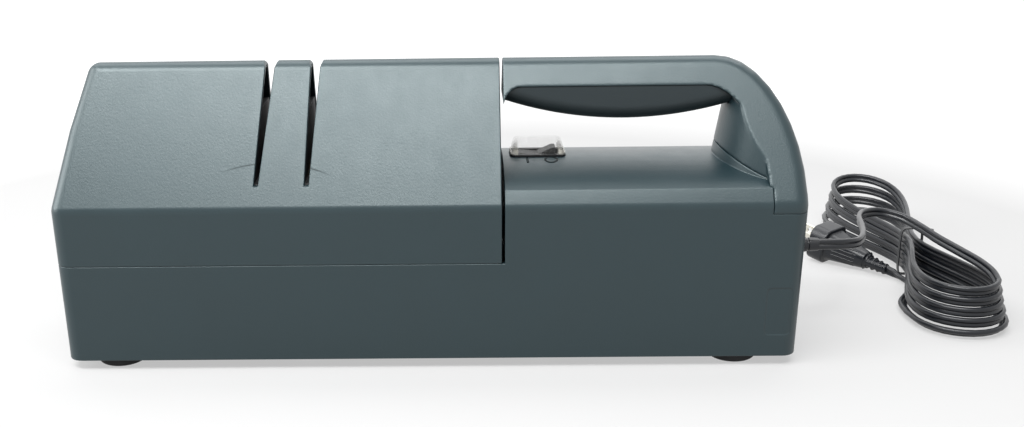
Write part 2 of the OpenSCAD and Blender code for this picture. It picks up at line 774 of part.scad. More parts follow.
module switch_body() {
    color(black) translate([0, switch_y, 0]) difference() {
        union() {
            translate([switch_x, 0, pad_z]) linear_extrude(frame_t) round_rect(switch_l, switch_w, 3);
            box([switch_x - switch_cut_l / 2 + 0.2, -switch_cut_w / 2 + 0.2, pad_z - body_depth],
                [switch_x + switch_cut_l / 2 - 0.2, switch_cut_w / 2 - 0.2, pad_z + 0.5]);
        }
        box([switch_x - well_l / 2, -well_w / 2, pivot_z - 6], [switch_x + well_l / 2, well_w / 2, frame_top + 1]);
        translate([switch_x, switch_cut_w, pivot_z]) rotate([90, 0, 0]) cylinder(r = pivot_r + 0.05, h = 2 * switch_cut_w, $fn = 48);
    }
}

module switch_terminals() {
    color(brass) translate([0, switch_y, 0]) for (x = [-8, 0, 8]) box([switch_x + x - 0.4, -3.15, pad_z - body_depth - 8], [switch_x + x + 0.4, 3.15, pad_z - body_depth]);
}

// The rocker is drawn level and rests with its left half pressed
module switch_rocker() {
    color(black) translate([0, switch_y, 0]) translate([switch_x, 0, pivot_z]) rotate([0, -rocker_tilt, 0]) {
        rotate([90, 0, 0]) linear_extrude(rocker_w, center = true)
            polygon([[-rocker_l / 2, -2], [-rocker_l / 2 + 3, -4], [rocker_l / 2 - 3, -4], [rocker_l / 2, -2],
                [rocker_l / 2, 4.6], [rocker_l / 2 - 2, 5], [0, 2.6], [-rocker_l / 2 + 2, 5], [-rocker_l / 2, 4.6]]);
        rotate([90, 0, 0]) cylinder(r = pivot_r, h = well_w + 2.4, center = true, $fn = 48);
    }
}

// A clear boot over the rocker
module boot_form(in) {
    hull() for (x = [-1, 1], y = [-1, 1]) {
        translate([switch_x + x * (switch_l / 2 - 3.6), y * (switch_w / 2 - 3.6), frame_top - (in > 0 ? 1 : 0)]) cylinder(r = 3 - in, h = e, $fn = 24);
        translate([switch_x + x * (switch_l / 2 - 4.6), y * (switch_w / 2 - 4.8), frame_top + boot_h - 3]) sphere(3 - in, $fn = 24);
    }
}

module switch_boot() {
    color([0.9, 0.92, 0.9, 0.5]) translate([0, switch_y, 0]) difference() {
        union() {
            boot_form(0);
            translate([switch_x, 0, frame_top]) linear_extrude(1) round_rect(switch_l - 0.4, switch_w - 0.4, 2.8);
        }
        boot_form(boot_t);
    }
}

// ---- wiring ----
// A round tube swept along points; its ends are square to the first and last step
function unit(v) = v / norm(v);
function heading(p, i) = unit(p[min(i + 1, len(p) - 1)] - p[max(i - 1, 0)]);
function side_of(d) = unit(cross(d, abs(d.z) > 0.9 ? [1, 0, 0] : [0, 0, 1]));
function carried(s, d) = unit(s - d * (s * d));
function sides(p, i = 0, s = [0, 0, 0]) = let (d = heading(p, i), t = i == 0 ? side_of(d) : carried(s, d))
    i == len(p) - 1 ? [t] : concat([t], sides(p, i + 1, t));
module tube(p, r, n) {
    s = sides(p);
    rings = [for (i = [0 : len(p) - 1]) let (d = heading(p, i), u = s[i], w = cross(d, u))
        for (k = [0 : n - 1]) p[i] + r * (cos(360 * k / n) * u + sin(360 * k / n) * w)];
    last = (len(p) - 1) * n;
    walls = [for (i = [0 : len(p) - 2], k = [0 : n - 1]) let (a = i * n + k, b = i * n + (k + 1) % n)
        each [[a, a + n, b + n], [a, b + n, b]]];
    caps = [for (k = [1 : n - 2]) each [[0, k, k + 1], [last, last + k + 1, last + k]]];
    polyhedron(points = rings, faces = concat(walls, caps));
}

// Points of a smooth curve through a route
function spline(p0, p1, p2, p3, t) = 0.5 * (2 * p1 + (p2 - p0) * t + (2 * p0 - 5 * p1 + 4 * p2 - p3) * t * t
    + (3 * p1 - p0 - 3 * p2 + p3) * t * t * t);
function smooth_route(p, n) = [for (i = [0 : len(p) - 2], k = [0 : n - 1])
        let (a = p[max(i - 1, 0)], b = p[i], c = p[i + 1], d = p[min(i + 2, len(p) - 1)])
        spline(a, b, c, d, k / n), p[len(p) - 1]];
// The same with its first and last step left straight
function led(p, n) = concat([p[0]], smooth_route([for (i = [1 : len(p) - 2]) p[i]], n), [p[len(p) - 1]]);

clamp_x = exit_x - 24;
wire_y = wall_y(plate_top) - 4;
clamp_z = 15;
wire_r = 1.3;
wire_l = 2.5;
terminal_z = pad_z - body_depth - 8;
wire_x = [switch_x - 8, switch_x + 8];
module line_wire() {
    color(black) tube(led([[clamp_x - 4, -3, clamp_z + 3], [clamp_x - 8, -3, clamp_z + 3], [clamp_x - 14, -26, 18], [clamp_x - 28, -wire_y, 17],
        [110, -wire_y, 20], [78, 1.5 - wire_y, 36], [69, 9.5 - wire_y, 56], [wire_x[1], switch_y - 12, 70], [wire_x[1], switch_y, terminal_z - 6],
        [wire_x[1], switch_y, terminal_z]], 2), wire_r, 8);
}

module neutral_wire() {
    color([0.85, 0.85, 0.82]) tube(led([[clamp_x - 4, 3, clamp_z + 3], [clamp_x - 8, 3, clamp_z + 3], [clamp_x - 14, 26, 18],
        [clamp_x - 28, wire_y, 17], [116, wire_y, 20], [103.5, wire_y + 0.5, 36], [102.4, wire_y - 2, 52], [102.4, coil_out_y + wire_l, motor_z],
        [102.4, coil_out_y, motor_z]], 2), wire_r, 8);
}

module motor_wires() {
    color([0.6, 0.1, 0.08]) tube(led([[wire_x[0], switch_y, terminal_z], [wire_x[0], switch_y, terminal_z - 5],
        [62, switch_y + 4, 71], [75, 12, 69.4], [85, 13.4, 69.4], [93, 13, 70.5], [97, 8.5, 78], [coil_end_x - wire_l, 8.5, 79],
        [coil_end_x, 8.5, 79]], 2), wire_r, 8);
}

lead_r = cord_d / 2;
relief_x0 = exit_x - exit_pad_t - 5.4;
relief_x1 = exit_x + 20;
lead_z = clamp_z + lead_r + 0.6;
module inner_lead() {
    color(black) tube(led([[relief_x0, 0, exit_z], [relief_x0 - 2.5, 0, exit_z], [exit_x - 12, 0, exit_z - 6.5], [exit_x - 13, 0, 34],
        [exit_x - 11, 0, 22], [clamp_x + 8, 0, lead_z], [clamp_x + 4, 0, lead_z], [clamp_x - 4, 0, lead_z]], 2), lead_r, 8);
}

module lead_clamp() {
    color(black) difference() {
        box([clamp_x - 4, -11, clamp_z], [clamp_x + 4, 11, clamp_z + 8]);
        rod(clamp_x - 5, clamp_x + 5, lead_r + 0.1, 0, lead_z);
        box([clamp_x - 5, -lead_r - 0.1, clamp_z - 1], [clamp_x + 5, lead_r + 0.1, lead_z]);
    }
}

module strain_relief() {
    seat_x = exit_x - exit_pad_t;
    color(black) translate([0, 0, exit_z]) rotate([0, 90, 0]) rotate_extrude($fn = 64)
        polygon([[0, relief_x0], [7.4, relief_x0], [7.4, seat_x - wall_t + exit_pad_t - 0.4], [exit_r - 0.1, seat_x - wall_t + exit_pad_t - 0.4],
            [exit_r - 0.1, seat_x], [7.8, seat_x], [7.8, seat_x + 1.6], [5.2, seat_x + 1.6], [5, seat_x + 5],
            [4.3, seat_x + 5], [4.3, seat_x + 6.2], [4.8, seat_x + 6.2], [4.6, seat_x + 9.6], [3.9, seat_x + 9.6],
            [3.9, seat_x + 10.8], [4.4, seat_x + 10.8], [4.2, seat_x + 14.2], [3.5, seat_x + 14.2],
            [3.5, seat_x + 15.4], [4, seat_x + 15.4], [3.6, relief_x1], [0, relief_x1]]);
}

// ---- free cord ----
// Middle of the hank's waist, its turn from +Y and its reach to each end
waist = [311.5, 94];
hank_turn = 0.3;
hank_near = 107;
hank_far = 125;
waist_w = 3.4;
lobe_w = 66;
waist_soft = 0.25;
tie_t = 1.2;
tie_clear = 0.3;
hank_z = lead_r + tie_t + tie_clear;
hank_pitch = cord_d + 0.8;
hank_lift = 14;
hank_narrow = 0.05;
hank_short = 0.015;
hank_rings = 24;
hank_start = 150;
hank_stop = 225;
hank_turns = hank_loops + (hank_stop - hank_start) / 360;
hank_steps = round(hank_turns * hank_rings);
// Loops passed at an angle: each climb lies along the run that comes back from the near end
function climb(a) = let (k = floor(a / 360), f = (a - 360 * k) / 360, g = min(1, max(0, (f - 0.52) / 0.4))) k + g * g * (3 - 2 * g);
function hank_point(a) = let (c = cos(a), s = sin(a), top = hank_turns - climb(a),
        u = (c > 0 ? hank_far : hank_near) * c * (1 - hank_short * top),
        v = s * (waist_w + lobe_w * (1 - hank_narrow * top) * (sqrt(c * c + waist_soft * waist_soft) - waist_soft)),
        z = hank_z + hank_pitch * top - (tie_t + tie_clear) * c * c + (c > 0 ? hank_lift * c * c * top / hank_turns : 0))
    [waist.x + v * cos(hank_turn) - u * sin(hank_turn), waist.y + v * sin(hank_turn) + u * cos(hank_turn), z];
hank_route = [for (i = [0 : hank_steps]) hank_point(hank_start + i * 360 / hank_rings)];
hank_out = unit(hank_route[hank_steps] - hank_route[hank_steps - 1]);
// Least gap of the hank to itself, measured on four points a step
hank_fine = [for (i = [0 : hank_steps - 1], k = [0 : 3]) hank_route[i] + (hank_route[i + 1] - hank_route[i]) * k / 4];
echo(hank_gap = min([for (i = [0 : len(hank_fine) - 1], j = [i + 2 * hank_rings : 1 : len(hank_fine) - 1])
    norm(hank_fine[i] - hank_fine[j])]) - cord_d);

// ---- plug ----
plug_turn = -49.6;
plug_tilt = 9.5;
plug_face = [262, 128, 14];
plug_l = 53;
plug_head_l = 12;
plug_h = 24;
plug_w = 26;
plug_dir = [cos(plug_tilt) * cos(plug_turn), cos(plug_tilt) * sin(plug_turn), -sin(plug_tilt)];
plug_end = plug_face + plug_l * plug_dir;
grip_l = 38;
relief_r = 5;
blade_l = 16;
blade_w = 6.35;
blade_t = 1.5;
blade_pitch = 12.7;

module on_plug() {
    translate(plug_face) rotate([0, plug_tilt, plug_turn]) children();
}

module plug_section(x, h, w, r) {
    translate([x, 0, 0]) rotate([0, 90, 0]) linear_extrude(e) round_rect(h, w, r);
}

module plug_body() {
    color(black) on_plug() difference() {
        union() {
            rotate([0, 90, 0]) linear_extrude(plug_head_l) round_rect(plug_h, plug_w, 7);
            hull() {
                plug_section(plug_head_l - 1, plug_h - 5, plug_w - 4, 6);
                plug_section(grip_l, 2 * relief_r + 1, 2 * relief_r + 1, relief_r);
            }
            translate([grip_l, 0, 0]) rotate([0, 90, 0]) cylinder(r1 = relief_r, r2 = lead_r + 1, h = plug_l - grip_l, $fn = 32);
        }
        // Flexing slots of the strain relief, on its upper and lower side
        for (i = [0 : 2], z = [-1, 1])
            box([grip_l + 2.5 + 4 * i, -relief_r - 1, z > 0 ? lead_r : -relief_r - 1], [grip_l + 4.5 + 4 * i, relief_r + 1, z > 0 ? relief_r + 1 : -lead_r]);
    }
}

module plug_blades() {
    color(brass) on_plug() for (y = [-1, 1]) difference() {
        box([-blade_l, y * blade_pitch / 2 - blade_t / 2, -blade_w / 2], [0, y * blade_pitch / 2 + blade_t / 2, blade_w / 2]);
        translate([-blade_l + 4.5, y * blade_pitch / 2, 0]) rotate([90, 0, 0]) cylinder(r = 1.6, h = 4, center = true, $fn = 32);
    }
}

// Route of the lead from the strain relief to the hank, chosen by hand
lead_route = [[relief_x1 + 7, 0, exit_z], [238, 1.5, 54], [248, 9, 52.5], [256, 25, 51], [263, 48, 48.5], [269, 72, 46],
    [277, 87.5, 44.5], [290, 94, 43], [303, 88.5, 40.5], [310, 76, 38], [315, 60, 36], [322, 42, 34], [328.5, 29, 31.5], [332, 18.5, 28.8]];
module power_cord() {
    color(black) tube(concat([[relief_x1, 0, exit_z]], smooth_route(concat(lead_route, [hank_route[0]]), 3)), lead_r, 8);
}

module cord_hank() {
    color(black) tube(hank_route, lead_r, 6);
}

tail_start = hank_route[hank_steps];
module cord_tail() {
    color(black) tube(concat([tail_start], smooth_route([tail_start + cord_d * hank_out, [288, 36, 2.9], [299, 54, 2.6], [304, 68, 2.6],
        [303, 77, 2.8], plug_end + cord_d * plug_dir], 2), [plug_end]), lead_r, 8);
}

tie_w = 3;
tie_in_w = 2 * (waist_w + lead_r + tie_clear);
tie_in_h = hank_pitch * hank_turns + cord_d + 2 * tie_clear;
module cord_tie() {
    color(black) translate([waist.x, waist.y, tie_t + tie_in_h / 2]) rotate([90, 0, hank_turn]) linear_extrude(tie_w, center = true)
        difference() {
            round_rect(tie_in_w + 2 * tie_t, tie_in_h + 2 * tie_t, 3);
            round_rect(tie_in_w, tie_in_h, 3 - tie_t);
        }
}

base_housing();
bottom_plate();
foot_front_left();
foot_front_right();
foot_rear_left();
foot_rear_right();
foot_screws();
base_screws();
module_cover();
module_tray();
knife_guide();
tray_screws();
left_shaft_bush();
right_shaft_bush();
disc_shaft();
drive_gear();
coarse_disc_left();
coarse_disc_right();
fine_disc_left();
fine_disc_right();
disc_spacer();
shaft_collars();
handle();
finger_grip();
handle_screws();
motor_stator();
field_coils();
front_bracket();
rear_bracket();
front_bearing();
rear_bearing();
motor_bolts();
motor_screws();
motor_rotor();
motor_shaft();
motor_pinion();
cooling_fan();
switch_body();
switch_terminals();
switch_rocker();
switch_boot();
line_wire();
neutral_wire();
motor_wires();
inner_lead();
lead_clamp();
strain_relief();
power_cord();
cord_hank();
cord_tail();
cord_tie();
plug_body();
plug_blades();
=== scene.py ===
"""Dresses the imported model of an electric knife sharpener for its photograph.

The frame holds every rigid piece. This script gives the moulded shells their softened edges, lays the
twin-core mains lead over the solids that stand for it, and gives each piece its finish.
"""

import json
import logging
import math
from dataclasses import dataclass, field
from enum import Enum
from typing import Any, Callable, Iterable, Sequence

import bmesh
import bpy
from bpy.types import Material, Mesh, Node, NodeSocket, Object
from mathutils import Matrix, Vector
from mathutils.bvhtree import BVHTree


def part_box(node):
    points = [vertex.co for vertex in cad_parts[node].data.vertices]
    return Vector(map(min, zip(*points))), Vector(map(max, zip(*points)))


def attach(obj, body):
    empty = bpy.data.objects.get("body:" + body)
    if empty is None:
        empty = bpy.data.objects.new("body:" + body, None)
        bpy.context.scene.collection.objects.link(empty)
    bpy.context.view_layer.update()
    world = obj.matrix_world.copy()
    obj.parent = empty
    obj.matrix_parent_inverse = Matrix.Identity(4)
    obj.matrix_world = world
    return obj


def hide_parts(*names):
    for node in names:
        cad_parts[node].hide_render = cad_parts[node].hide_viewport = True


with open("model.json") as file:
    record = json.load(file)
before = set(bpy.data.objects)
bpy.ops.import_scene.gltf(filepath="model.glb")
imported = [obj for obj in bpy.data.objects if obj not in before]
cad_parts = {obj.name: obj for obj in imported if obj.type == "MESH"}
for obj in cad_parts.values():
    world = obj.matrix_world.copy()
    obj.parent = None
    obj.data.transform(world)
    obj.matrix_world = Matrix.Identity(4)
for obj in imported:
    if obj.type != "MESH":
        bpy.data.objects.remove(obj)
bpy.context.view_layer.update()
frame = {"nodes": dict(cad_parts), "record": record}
LOG = logging.getLogger("sharpener")
MM = 0.001
WELD = 0.002 * MM  # points closer than this are one
Colour = Place = tuple[float, float, float]
Pair = tuple[float, float]


class Rides(Enum):
    """The bodies that pieces of this scene ride on."""

    BASE = "base"
    MODULE = "module"
    ROCKER = "rocker"


# ---- shader helpers


def _maths(operation: str, turned: bool = False) -> Callable[..., "Wire"]:
    """Makes a method of Wire that adds one Math node.

    Args:
        operation: the Math node's operation.
        turned: whether the wire is the second of the two values.

    Returns:
        The method, which takes the other value, if there is one, as a wire or a number.
    """

    def method(self: "Wire", other: Any = 0.0) -> "Wire":
        """Adds the node to the wire's tree.

        Args:
            other: the other value.

        Returns:
            The node's result.
        """
        node = self.tree.nodes.new("ShaderNodeMath")
        node.operation = operation
        for socket, value in zip(node.inputs, (other, self) if turned else (self, other)):
            if isinstance(value, Wire):
                self.tree.links.new(value.socket, socket)
            else:
                socket.default_value = value
        return Wire(self.tree, node.outputs[0])

    return method


class Wire:
    """A node socket that takes part in sums, so that shader maths reads as an expression."""

    def __init__(self, tree: bpy.types.NodeTree, socket: NodeSocket) -> None:
        """Keeps the socket and its tree."""
        self.tree = tree
        self.socket = socket

    __add__ = _maths("ADD")
    __sub__ = _maths("SUBTRACT")
    __rsub__ = _maths("SUBTRACT", turned=True)
    __mul__ = _maths("MULTIPLY")
    __truediv__ = _maths("DIVIDE")
    __pow__ = _maths("POWER")
    __abs__ = _maths("ABSOLUTE")
    sine = _maths("SINE")
    cosine = _maths("COSINE")
    sign = _maths("SIGN")
    above = _maths("GREATER_THAN")  # 1 where this is the larger, and otherwise 0
    at_least = _maths("MAXIMUM")
    at_most = _maths("MINIMUM")


class NodeTree:
    """A node tree and the one method that adds its nodes."""

    def __init__(self, tree: bpy.types.NodeTree) -> None:
        """Keeps the tree."""
        self.tree = tree

    def add(self, kind: str, settings: dict[str, Any] | None = None, **sockets: Any) -> Node:
        """Adds a node.

        Args:
            kind: the node's type.
            settings: properties set before the sockets.
            sockets: values or wires by socket name, with _ for a space.

        Returns:
            The node.
        """
        node = self.tree.nodes.new(kind)
        for key, value in (settings or {}).items():
            setattr(node, key, value)
        for key, value in sockets.items():
            self.join(value, node.inputs[key.replace("_", " ")])
        return node

    def join(self, value: Any, socket: NodeSocket) -> None:
        """Links a wire to a socket, or sets the socket's value.

        Args:
            value: a wire, or a constant for the socket.
            socket: the input that takes it.
        """
        if isinstance(value, Wire):
            self.tree.links.new(value.socket, socket)
        else:
            socket.default_value = value

    def wire(self, node: Node, output: int | str = 0) -> Wire:
        """An output of a node as a wire."""
        return Wire(self.tree, node.outputs[output])

    def flow(self, kind: str, settings: dict[str, Any] | None = None, **sockets: Any) -> Wire:
        """Adds a node and gives its first output."""
        return self.wire(self.add(kind, settings, **sockets))

    def axes(self, place: Wire) -> list[Wire]:
        """The three parts of a vector."""
        spot = self.add("ShaderNodeSeparateXYZ", None, Vector=place)
        return [self.wire(spot, axis) for axis in "XYZ"]


class ShaderTree(NodeTree):
    """The node tree of one material."""

    def __init__(self, name: str) -> None:
        """Makes an empty node material.

        Args:
            name: the material's name.
        """
        self.material = bpy.data.materials.new(name)
        self.material.use_nodes = True
        super().__init__(self.material.node_tree)
        self.tree.nodes.clear()

    def place(self, stretch: Sequence[float] = (1, 1, 1)) -> Wire:
        """Object coordinates, stretched along the axes."""
        coords = self.wire(self.add("ShaderNodeTexCoord"), "Object")
        return self.flow("ShaderNodeMapping", None, Vector=coords, Scale=tuple(stretch))

    def noise(self, place: Wire, size: float, detail: float = 2, roughness: float = 0.5) -> Wire:
        """Noise from 0 to 1 whose lumps are about size metres across."""
        node = self.add("ShaderNodeTexNoise", None, Vector=place, Scale=1 / size, Detail=detail, Roughness=roughness)
        return self.wire(node, "Fac")

    def blend(self, factor: Any, first: Any, second: Any) -> Wire:
        """Mixes two colours.

        Args:
            factor: 0 for the first colour and 1 for the second.
            first: a wire or a colour.
            second: a wire or a colour.

        Returns:
            The mixed colour.
        """
        node = self.add("ShaderNodeMix", {"data_type": "RGBA"})
        self.join(factor, node.inputs[0])
        for socket, value in ((node.inputs[6], first), (node.inputs[7], second)):
            self.join((*value, 1) if isinstance(value, tuple) else value, socket)
        return self.wire(node, 2)

    def finish(self, shader: Node) -> Material:
        """Connects the surface and gives the material.

        Args:
            shader: the node whose output is the surface.

        Returns:
            The material.
        """
        output = self.add("ShaderNodeOutputMaterial")
        self.tree.links.new(shader.outputs[0], output.inputs["Surface"])
        return self.material


class GrowthTree(NodeTree):
    """A Geometry Nodes tree with named sizes, which turns one mesh into another."""

    def __init__(self, name: str, sizes: dict[str, float]) -> None:
        """Makes the tree's ends.

        Args:
            name: the tree's name.
            sizes: the named inputs and their values.
        """
        super().__init__(bpy.data.node_groups.new(name, "GeometryNodeTree"))
        self.sizes = sizes
        face = self.tree.interface
        face.new_socket("Geometry", in_out="INPUT", socket_type="NodeSocketGeometry")
        for label in sizes:
            face.new_socket(label, in_out="INPUT", socket_type="NodeSocketFloat")
        face.new_socket("Geometry", in_out="OUTPUT", socket_type="NodeSocketGeometry")
        self.given = self.tree.nodes.new("NodeGroupInput")

    def size(self, label: str) -> Wire:
        """A named input as a wire."""
        return self.wire(self.given, label)

    def vector(self, x: Any, y: Any, z: Any) -> Wire:
        """Three values as one vector."""
        return self.flow("ShaderNodeCombineXYZ", None, X=x, Y=y, Z=z)

    def circle(self, sides: int, radius: Any) -> Wire:
        """A circle to sweep, with so many sides."""
        return self.flow("GeometryNodeCurvePrimitiveCircle", {"mode": "RADIUS"}, Resolution=sides, Radius=radius)

    def skin(self, line: Wire, ring: Wire) -> Wire:
        """A closed surface: the ring swept along the line."""
        return self.flow("GeometryNodeCurveToMesh", None, Curve=line, Profile_Curve=ring, Fill_Caps=True)

    def grow(self, piece: Object, shape: Wire, material: Material) -> None:
        """Ends the tree, runs it on a piece and leaves the piece a plain mesh.

        Args:
            piece: the object whose mesh the tree starts from.
            shape: the tree's last geometry.
            material: the material that the new surface gets.
        """
        real = self.flow("GeometryNodeRealizeInstances", None, Geometry=shape)
        dressed = self.add("GeometryNodeSetMaterial", None, Geometry=real)
        dressed.inputs["Material"].default_value = material
        end = self.tree.nodes.new("NodeGroupOutput")
        self.tree.links.new(dressed.outputs[0], end.inputs[0])
        modifier = piece.modifiers.new(self.tree.name, "NODES")
        modifier.node_group = self.tree
        for item in self.tree.interface.items_tree:
            if item.item_type == "SOCKET" and item.in_out == "INPUT" and item.name in self.sizes:
                modifier[item.identifier] = self.sizes[item.name]
        settle(piece)


def shade(colour: Colour, by: float) -> Colour:
    """A colour made lighter or darker by a factor."""
    return tuple(min(1.0, channel * by) for channel in colour)


# ---- finishes


@dataclass(frozen=True)
class Moulded:
    """Moulded plastic or rubber with a fine spark-eroded grain."""

    name: str
    colour: Colour
    roughness: float
    grain: float = 1.1 * MM
    depth: float = 0.06 * MM
    mottle: float = 0.12
    sheen: float = 0.5
    tint: Colour = (1.0, 1.0, 1.0)
    cloud: float = 35 * MM
    smear: float = 9 * MM

    def material(self) -> Material:
        """Builds the node material.

        Returns:
            The material.
        """
        tree = ShaderTree(self.name)
        place = tree.place()
        fine = tree.noise(place, self.grain, 3, 0.6)
        cloud = tree.noise(place, self.cloud, 3, 0.55)
        smear = tree.noise(tree.place((1, 1, 0.35)), self.smear, 4, 0.6)
        colour = tree.blend(cloud, shade(self.colour, 1 - self.mottle), shade(self.colour, 1 + self.mottle))
        colour = self.marked(tree, tree.blend(fine * 0.3, colour, shade(self.colour, 1.5)))
        rough = smear * 0.10 + cloud * 0.06 + (self.roughness - 0.08) + self.worn(tree)
        height = fine + self.pressed(tree)
        bump = tree.add("ShaderNodeBump", None, Height=height, Distance=self.depth, Strength=1.0)
        shader = tree.add("ShaderNodeBsdfPrincipled", None, Base_Color=colour, Roughness=rough, Normal=tree.wire(bump))
        shader.inputs["Specular IOR Level"].default_value = self.sheen
        shader.inputs["Specular Tint"].default_value = (*self.tint, 1)
        return tree.finish(shader)

    def marked(self, tree: ShaderTree, colour: Wire) -> Wire:
        """The colour with the marks of use on it: none on a plain moulding."""
        return colour

    def worn(self, tree: ShaderTree) -> Any:
        """Roughness that wear adds: none on a plain moulding."""
        return 0.0

    def pressed(self, tree: ShaderTree) -> Any:
        """Height of pressed-in forms, in grain depths: none on a plain moulding."""
        return 0.0


@dataclass(frozen=True)
class Rubbed(Moulded):
    """Moulded plastic with a faint curved rub mark beside the knife slots."""

    centre: Pair = (-83.6 * MM, 27.3 * MM)
    radius: float = 88 * MM
    ends: Pair = (-112 * MM, -50 * MM)
    between: Pair = (-91 * MM, -63.5 * MM)
    line: float = 0.55 * MM
    fade_over: float = 9 * MM
    dark: float = 0.9
    dull: float = 0.35

    def arc(self, tree: ShaderTree) -> Wire:
        """Where the mark is: an arc on the near side, away from the strip between the slots.

        Args:
            tree: the material's tree.

        Returns:
            A wire that is 1 on the mark and 0 off it.
        """
        x, y, z = tree.axes(tree.place())
        across, rise = x - self.centre[0], z - self.centre[1]
        off = abs((across * across + rise * rise) ** 0.5 - self.radius)
        line = (1 - off / self.line).at_least(0)
        fade = ((x - self.ends[0]) / self.fade_over).at_most(1) * ((self.ends[1] - x) / self.fade_over).at_most(1)
        middle = (self.between[0] + self.between[1]) / 2
        clear = abs(x - middle).above((self.between[1] - self.between[0]) / 2)
        return line * fade.at_least(0) * clear * (0 - y).above(0)

    def marked(self, tree: ShaderTree, colour: Wire) -> Wire:
        """Darkens the arc."""
        return tree.blend(self.arc(tree) * self.dark, colour, shade(self.colour, 0.25))

    def worn(self, tree: ShaderTree) -> Any:
        """Dulls the arc."""
        return self.arc(tree) * self.dull


@dataclass(frozen=True)
class Panelled(Moulded):
    """Moulded plastic with a shallow blank panel pressed into the near wall at its right end."""

    middle: Pair = (189.5 * MM, 32.4 * MM)
    half: Pair = (7.0 * MM, 13.7 * MM)
    corner: float = 2.5 * MM
    slope: float = 0.7 * MM
    recess: float = 0.35 * MM
    near_wall: float = 40 * MM

    def pressed(self, tree: ShaderTree) -> Any:
        """Sinks a rectangle with round corners.

        Args:
            tree: the material's tree.

        Returns:
            The height that it adds, in grain depths.
        """
        x, y, z = tree.axes(tree.place())
        across = (abs(x - self.middle[0]) - (self.half[0] - self.corner)).at_least(0)
        upward = (abs(z - self.middle[1]) - (self.half[1] - self.corner)).at_least(0)
        gap = (across * across + upward * upward) ** 0.5 - self.corner
        inside = (0.5 - gap / self.slope).at_least(0).at_most(1)
        return inside * (0 - y).above(self.near_wall) * (-self.recess / self.depth)


@dataclass(frozen=True)
class Metal:
    """Turned, rolled or cast metal with fine streaks along X."""

    name: str
    colour: Colour
    roughness: float
    streak: Place = (0.08, 1, 1)
    size: float = 0.5 * MM
    depth: float = 0.01 * MM
    metallic: float = 1.0

    def material(self) -> Material:
        """Builds the node material.

        Returns:
            The material.
        """
        tree = ShaderTree(self.name)
        lines = tree.noise(tree.place(self.streak), self.size, 3, 0.65)
        stain = tree.noise(tree.place(), 14 * MM, 3, 0.6)
        colour = tree.blend(stain, shade(self.colour, 0.85), shade(self.colour, 1.1))
        rough = lines * 0.18 + stain * 0.1 + (self.roughness - 0.12)
        bump = tree.add("ShaderNodeBump", None, Height=lines, Distance=self.depth, Strength=0.8)
        shader = tree.add("ShaderNodeBsdfPrincipled", None, Base_Color=colour, Roughness=rough, Normal=tree.wire(bump))
        shader.inputs["Metallic"].default_value = self.metallic
        return tree.finish(shader)


@dataclass(frozen=True)
class ClearBoot:
    """Clear flexible plastic, pale at its two thick ends: partly the thick plastic's own milky tone, partly a painted
    highlight.
    """

    name: str
    colour: Colour
    milky_end_and_highlight: Colour
    roughness: float
    alpha: float
    middle: float = 61.2 * MM
    thick_from: float = 10.6 * MM
    thick_to: float = 115.5 * MM
    edge: float = 1.0 * MM
    fall: float = 3.0 * MM
    thick_alpha: float = 0.30

    def material(self) -> Material:
        """Builds the node material.

        Returns:
            The material.
        """
        tree = ShaderTree(self.name)
        cloud = tree.noise(tree.place(), 4 * MM, 3, 0.6)
        x, _, z = tree.axes(tree.place())
        # The ends below the top get the pale colour and more opacity: partly the thick plastic's own tone, partly
        # painted highlight.
        end = ((abs(x - self.middle) - self.thick_from) / self.edge).at_least(0).at_most(1)
        end = end * ((self.thick_to - z) / self.fall).at_least(0.12).at_most(1)
        alpha = cloud * 0.06 + (self.alpha - 0.03) + end * self.thick_alpha
        colour = tree.blend(end, self.colour, self.milky_end_and_highlight)
        bump = tree.add("ShaderNodeBump", None, Height=cloud, Distance=0.05 * MM, Strength=0.6)
        shader = tree.add("ShaderNodeBsdfPrincipled", None, Base_Color=colour, Alpha=alpha, Normal=tree.wire(bump))
        shader.inputs["Roughness"].default_value = self.roughness
        return tree.finish(shader)


SLATE = Moulded("slate_plastic", (0.008, 0.020, 0.025), 0.38, sheen=0.7, tint=(0.88, 0.99, 1.0))
RUBBED = Rubbed("rubbed_slate_plastic", SLATE.colour, SLATE.roughness, sheen=SLATE.sheen, tint=SLATE.tint)
PANELLED = Panelled("panelled_slate_plastic", SLATE.colour, SLATE.roughness, sheen=SLATE.sheen, tint=SLATE.tint)
# The finger grip is the shell's slate plastic made a little darker: painted shade of the handle's underside.
SHADED_GRIP = Moulded("grip_plastic", (0.010, 0.018, 0.021), 0.5)
INNER = Moulded("inner_plastic", (0.012, 0.013, 0.014), 0.55)
RUBBER = Moulded("foot_rubber", (0.012, 0.012, 0.013), 0.75, 0.6 * MM, 0.02 * MM)
NYLON = Moulded("gear_nylon", (0.68, 0.66, 0.58), 0.4, 0.8 * MM, 0.004 * MM)
SWITCH = Moulded("switch_plastic", (0.006, 0.007, 0.008), 0.45, 0.5 * MM, 0.003 * MM, sheen=0.25)
